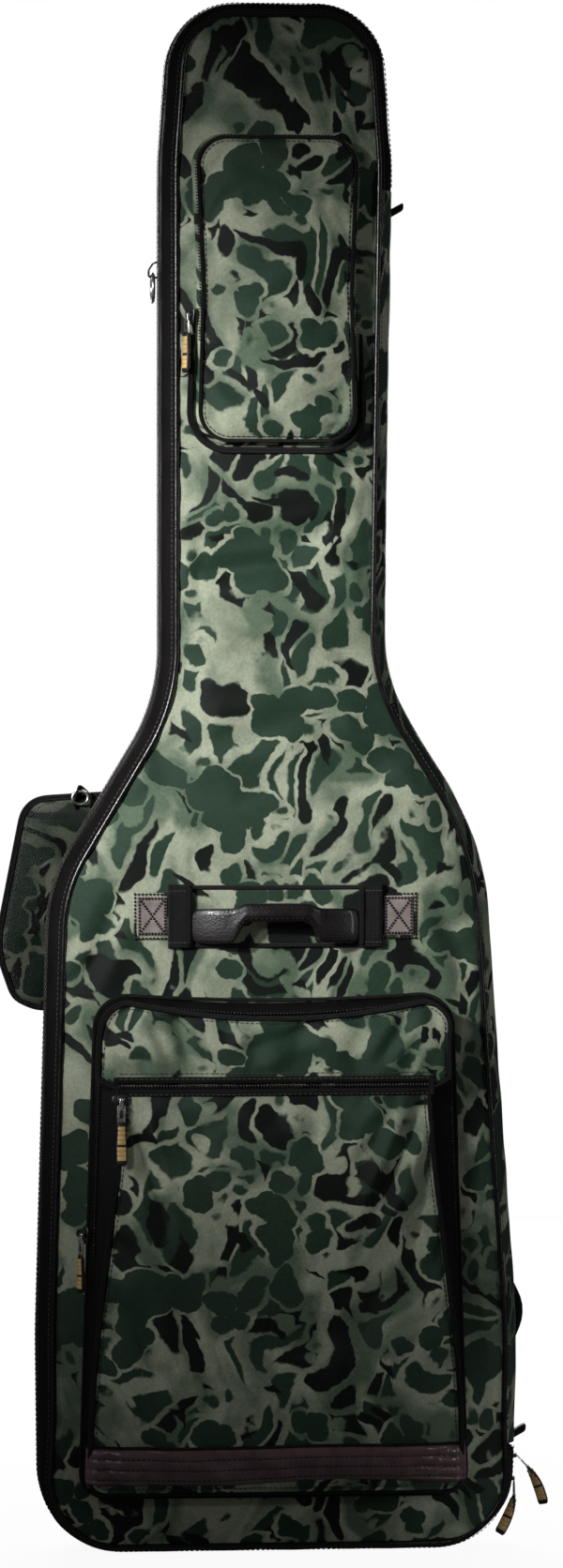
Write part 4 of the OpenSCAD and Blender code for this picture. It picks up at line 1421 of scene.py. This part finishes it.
RING_X, RING_Y, RING_Z = (v / MM for v in joints["ring_swing"]["pos_m"])
RING_R = 11.0
parts = Parts()
around = [(-90.8, 1020), (-95.4, 1018), (-98.6, 1013), (-98.8, 1008.5), (-95.5, 1006.4), (-92.6, 1007),
          (-90.8, 1008)]
path = resample([(x, RING_Y, z) for x, z in around], 1.2)
parts.add(*strip(path, 9, 1.5, (1, 0, 0.6)))
stands_for(parts.make("side_ring_webbing_tab", [WEBBING], "shell"), "webbing", "side_ring_tab")
parts = Parts()
circle = [
    (RING_X, RING_Y + RING_R * math.cos(t), RING_Z - RING_R + RING_R * math.sin(t))
    for t in full_turn(48)
]
parts.add(*tube(circle, 1.5, 12, True, (1, 0, 0)))
stands_for(parts.make("side_ring_wire", [STEEL], "ring"), "slider_metal", "side_ring")

# ---------------------------------------------------------------- zip sliders, pullers and tabs


def placed(verts, pin, turn, lean):
    """Points drawn with the pin at the origin, outward along -Y, moved to where the pull is."""
    turned = Matrix.Rotation(math.radians(turn), 3, "Z")
    spin = np.array(turned @ Matrix.Rotation(math.radians(-lean), 3, "X"))
    return np.asarray(verts, float) @ spin.T + np.asarray(pin, float)


def slider_plate(along_x):
    """Shield-shaped slider body behind the pin, its long way up or along X."""
    edge = [(0, 7.0), (2.6, 6.4), (4.3, 3.8), (4.1, 0), (3.3, -3.6), (2.9, -6.6), (1.2, -7.0)]
    edge += [(-x, z) for x, z in reversed(edge) if x > 0]
    edge = np.array(edge, float)
    if along_x:
        edge = edge[:, ::-1] * (1, -1)
    rings = []
    for y, k in ((2.15, 0.86), (2.3, 0.96), (2.6, 1.0), (3.0, 1.0)):
        rings.append(np.stack([edge[:, 0] * k, edge[:, 0] * 0 + y, edge[:, 1] * k], 1))
    return loft(rings)


def eye_ring(radius, hole, width, n=20):
    """Short tube round the X axis."""
    angle = full_turn(n)
    rings = []
    for r, x in ((hole, -1), (radius, -1), (radius, 1), (hole, 1)):
        rings.append(np.stack([angle * 0 + x * width / 2, r * np.cos(angle), r * np.sin(angle)], 1))
    return loft(rings, True)


def slider_body(place, along_x):
    """Slider on the zip, with the bridge that holds the pin; place moves points to where it sits."""
    slider = Parts()
    slider.add(*slider_plate(along_x))
    for x in (-2.55, 2.55):
        slider.add(*rounded_bar((1.0, 3.7, 3.4), 0.45, (x, 0.5, 0)))
    slider.add(*tube([(x, 0, 0) for x in (-3.0, -1.0, 1.0, 3.0)], 0.95, 12, side=(0, 1, 0)))
    slider.verts = [place(v) for v in slider.verts]
    return slider


def puller_link(place, bar):
    """Metal puller: an eye round the pin and a bar whose slot is a dark block, painted shade for the
    opening.
    """
    puller = Parts()
    puller.add(*eye_ring(1.95, 1.12, 3.1))
    puller.add(*rounded_bar((3.0, 1.2, 4.6), 0.4, (0, -1.4, -3.2)))
    middle = (0, -1.45, -(bar + 4) / 2)
    puller.add(*rounded_bar((6.2, 1.3, bar - 4), 0.45, middle, 3))
    # Dark block in the bar: painted shade where the slot's opening would be
    puller.add(*rounded_bar((2.8, 1.5, (bar - 6) * 0.55), 0.3, middle), 1)
    puller.verts = [place(v) for v in puller.verts]
    return puller


TAB_STEPS = 20
TAB_BARS = 7


def pull_tab(place, bar, tab, hang, droop, twist):
    """Rubber tab with gold bars on both faces. It hangs off the puller at its own angle, curves by droop
    degrees over its length and is twisted on it."""
    length = tab - 0.2
    angle = np.radians(hang) + np.radians(droop) * np.linspace(0, 1, TAB_STEPS)
    y = -1.7 + np.concatenate([[0], np.cumsum(np.sin(angle[1:]) * length / (TAB_STEPS - 1))])
    z = -bar + 0.8 - np.concatenate([[0], np.cumsum(np.cos(angle[1:]) * length / (TAB_STEPS - 1))])
    path = np.stack([y * 0, y, z], 1)
    s = np.linspace(0, 1, TAB_STEPS)
    flare = 0.62 + 0.16 * smooth(0, 0.12, s) + 0.22 * smooth(0.1, 0.7, s)
    wide = 8.6 * flare * (1 - 0.25 * smooth(0.93, 1, s))
    thick = 3.0 * (0.75 + 0.25 * smooth(0, 0.15, s)) * (1 - 0.35 * smooth(0.9, 1, s))
    turn_at = np.radians(twist) * smooth(0.0, 0.5, s)
    flat = np.stack([np.sin(turn_at), np.cos(turn_at), turn_at * 0], 1)
    down, back_way, _ = frames_along(path, flat)
    out = -back_way
    rubber = Parts()
    rubber.add(*strip(path, wide, thick, flat, 16, 3.5))
    for face in (-1, 1):
        for k in range(TAB_BARS):
            i = int(round((0.14 + 0.70 * k / (TAB_BARS - 1)) * (TAB_STEPS - 1)))
            verts, faces = round_box((wide[i] * 0.80, 0.7, length * 0.72 / TAB_BARS), 0.25, 1)
            m = np.stack([np.cross(down[i], out[i]), -out[i], -down[i]], 0)
            rubber.add(verts @ m + path[i] + face * out[i] * thick[i] / 2, faces, 1)
    rubber.verts = [place(v) for v in rubber.verts]
    return rubber


def pin_of(joint):
    """Where a puller's pin is, in millimetres."""
    return [v / MM for v in joints[joint]["pos_m"]]


def zip_pull(zip_name, letter, turn, lean, bar, tab, droop=0.0, slider_lean=0.0, hang=0.0, twist=0.0,
             along_x=False):
    """Slider, puller and tab of a zip on the bodies that carry them; letter tells two on one zip apart."""
    end = f"_{letter}" if letter else ""
    piece = zip_name + end
    runs, swings = f"{zip_name}_run{end}", f"{zip_name}_pull{end}"
    pin = pin_of(f"{swings}_swing")

    def leaning(angle):
        return lambda verts: placed(verts, pin, turn, angle)

    slider = slider_body(leaning(slider_lean), along_x).make(f"{piece}_slider_body", [GUN], runs)
    puller = puller_link(leaning(lean), bar).make(f"{piece}_puller_link", [STEEL, GUN], swings)
    rubber = pull_tab(leaning(lean), bar, tab, hang, droop, twist)
    rubber = rubber.make(f"{piece}_pull_tab", [RUBBER, GOLD], swings)
    stands_for(slider, "slider_metal", f"{zip_name}_slider{end}")
    stands_for(puller, "puller_metal", f"{zip_name}_puller{end}")
    stands_for(rubber, "tab_rubber", f"{zip_name}_tab{end}")


# Lengths are the puller's bar and the tab; angles are in degrees
zip_pull("main", "a", 90, 0, 14, 34, droop=20, slider_lean=-12, hang=11, twist=-70)
zip_pull("main", "b", 90, 42, 14, 34, droop=24, hang=6, twist=-65)
zip_pull("pocket", "", -60, 0, 16, 30)
zip_pull("flat", "", 0, 0, 18, 34, hang=-9, along_x=True)
zip_pull("head", "", -60, 0, 14, 32, droop=-4)

# ---------------------------------------------------------------- inside


def quilted(p):
    """Diamond quilting pressed into a lining panel."""
    p = np.array(p, float)
    k = math.pi / 42
    pillow = np.abs(np.sin(k * (p[:, 0] + p[:, 2]))) * np.abs(np.sin(k * (p[:, 0] - p[:, 2])))
    p[:, 1] += np.where(p[:, 1] < 0, 1, -1) * 2.2 * pillow ** 0.5
    return p


for body, y, node in (("lid", -LINING_Y, "front_lining"), ("shell", LINING_Y, "back_lining")):
    sheet, _ = panel(f"{body}_lining_panel", bag, INSET + 0.4, y, 0.6, 10.0, 45, [LINING], y < 0, quilted,
                     9.0)
    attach(sheet, body)
    stands_for(sheet, "lining", node)

# Neck block: a padded trough, its strap with a hook-and-loop patch, and the bumper at the base
STRAP_Z = 780.0
low, high = box_mm("neck_rest")
profile = [(-62, 21.6), (-62, 8), (-60, 4.5), (-34, 4.5)]
profile += [(-30.5 * math.cos(t), -12 + 30.5 * math.sin(t)) for t in np.linspace(0.58, math.pi - 0.58, 15)]
profile += [(34, 4.5), (60, 4.5), (62, 8), (62, 21.6)]
profile = np.array(profile)
middle_y = 15.0
rings = []
for z, share in ((low[2], 0.90), (low[2] + 1.5, 0.97), (low[2] + 5, 1.0), (STRAP_Z, 1.0), (high[2] - 5, 1.0),
                 (high[2] - 1.5, 0.97), (high[2], 0.90)):
    x = profile[:, 0] * (0.5 + share / 2)
    y = middle_y + (profile[:, 1] - middle_y) * share
    rings.append(np.stack([x, y, y * 0 + z], 1))
block = make("neck_rest_block", *loft(rings), FOAM_COVER, None, "shell")
face_outward(block)
stands_for(block, "foam", "neck_rest")

parts = Parts()
half = [(0, -18.6), (58, -18.2), (66, -17), (68.5, -12), (68.5, 8), (68, 21)]
path = [(-x, y, STRAP_Z) for x, y in half[:0:-1]] + [(x, y, STRAP_Z) for x, y in half]
path = resample(path, 3.0)
parts.add(*strip(path, 40, 2.0, np.cross(np.gradient(path, axis=0), (0, 0, 1))))
parts.add(*rounded_bar((44, 1.0, 34), 0.4, (24, -20.0, STRAP_Z)), 1)
across = path[np.abs(path[:, 0]) < 60]
for z in (-16, 16):
    stitch_row(parts, across + (0, 0, z), (0, -1, 0), mat=2, lift=1.1)
stands_for(parts.make("neck_strap_band", [WEBBING, BLACK, GREY_THREAD], "shell"), "webbing", "neck_strap")

low, high = box_mm("bottom_bumper")
verts, faces = rounded_bar(high - low, 4.0, (low + high) / 2, 4)
bumper = make("bottom_bumper_block", verts, faces, FOAM_COVER, None, "shell")
stands_for(bumper, "foam", "bottom_bumper")


# ---------------------------------------------------------------- stage

floor_shader = Shader("pale_floor")
lit = floor_shader.node("ShaderNodeBsdfDiffuse", {"Color": rgb(240, 240, 238)})
glow = floor_shader.node("ShaderNodeEmission", {"Color": (1, 1, 1, 1), "Strength": 1.09})
both = floor_shader.node("ShaderNodeMixShader", {0: 0.86, 1: lit.outputs[0], 2: glow.outputs[0]})
floor_shader.put(floor_shader.out.inputs["Surface"], both.outputs[0])
corners = [(-2600, -2400, 0), (2600, -2400, 0), (2600, 2600, 0), (-2600, 2600, 0)]
floor = make("floor", corners, [(0, 1, 2, 3)], floor_shader.material)
floor.visible_diffuse = False
floor.visible_glossy = False


def aimed_light(name, kind, place, target, power):
    """Lamp at a place in metres, pointing at a target."""
    light = bpy.data.lights.new(name, kind)
    light.energy = power
    obj = bpy.data.objects.new(name, light)
    obj.location = place
    obj.rotation_euler = (Vector(target) - Vector(place)).to_track_quat("-Z", "Y").to_euler()
    bpy.context.scene.collection.objects.link(obj)
    return light


def area_light(name, place, target, size, power):
    """Softbox."""
    light = aimed_light(name, "AREA", place, target, power)
    light.shape = "RECTANGLE"
    light.size, light.size_y = size


def spot_light(name, place, target, angle, power):
    """Soft-edged spot."""
    light = aimed_light(name, "SPOT", place, target, power)
    light.spot_size = math.radians(angle)
    light.spot_blend = 1.0
    light.shadow_soft_size = 0.12


spot_light("key", (-1.75, -1.7, 1.4), (-0.01, 0, 0.715), 20.5, 318)
spot_light("low_key", (-1.3, -1.7, 1.0), (0.0, 0, 0.33), 18, 33)
spot_light("tab_light", (0.7, -1.6, 0.5), (0.215, 0, 0.035), 4.5, 90)
area_light("side_left", (-1.8, -0.5, 1.0), (0, 0, 0.6), (0.12, 1.2), 2.0)
area_light("side_right", (1.8, -0.8, 0.8), (0, 0, 0.55), (0.12, 1.2), 3.5)
area_light("back_left", (-0.45, 2.4, 1.5), (0, 0, 0.6), (0.8, 1.5), 24)
area_light("back_right", (0.6, 2.3, 1.2), (0, 0, 0.6), (0.8, 1.5), 22)

# White behind the bag, but only a faint even light from all round on it
world = bpy.data.worlds.new("studio")
bpy.context.scene.world = world
world.use_nodes = True
nodes, links = world.node_tree.nodes, world.node_tree.links
nodes.clear()
out = nodes.new("ShaderNodeOutputWorld")
mix = nodes.new("ShaderNodeMixShader")
rays = nodes.new("ShaderNodeLightPath")
links.new(rays.outputs["Is Camera Ray"], mix.inputs[0])
for socket, strength in ((1, 0.045), (2, 1.0)):
    sky = nodes.new("ShaderNodeBackground")
    sky.inputs["Color"].default_value = (1, 1, 1, 1)
    sky.inputs["Strength"].default_value = strength
    links.new(sky.outputs[0], mix.inputs[socket])
links.new(mix.outputs[0], out.inputs[0])

CAMERA_AZIMUTH = math.radians(-5.0)
CAMERA_ELEVATION = math.radians(1.0)
CAMERA_DISTANCE = 4.2
FRONT_NEARER = 0.04  # the bag's front is this much nearer than the point aimed at
FRAME_HEIGHT = 1.2298  # what the picture's height spans there, in metres
SENSOR = 24.0
cam = bpy.data.cameras.new("camera")
camera = bpy.data.objects.new("camera", cam)
bpy.context.scene.collection.objects.link(camera)
aim = Vector((0.005, -0.01, 0.6055))
direction = Vector((
    math.sin(CAMERA_AZIMUTH) * math.cos(CAMERA_ELEVATION),
    -math.cos(CAMERA_AZIMUTH) * math.cos(CAMERA_ELEVATION),
    math.sin(CAMERA_ELEVATION),
))
camera.location = aim + direction * CAMERA_DISTANCE
camera.rotation_euler = (-direction).to_track_quat("-Z", "Y").to_euler()
cam.sensor_fit = "VERTICAL"
cam.sensor_height = SENSOR
cam.lens = SENSOR * (CAMERA_DISTANCE - FRONT_NEARER) / FRAME_HEIGHT
bpy.context.scene.camera = camera
bpy.context.scene.view_settings.view_transform = "Standard"
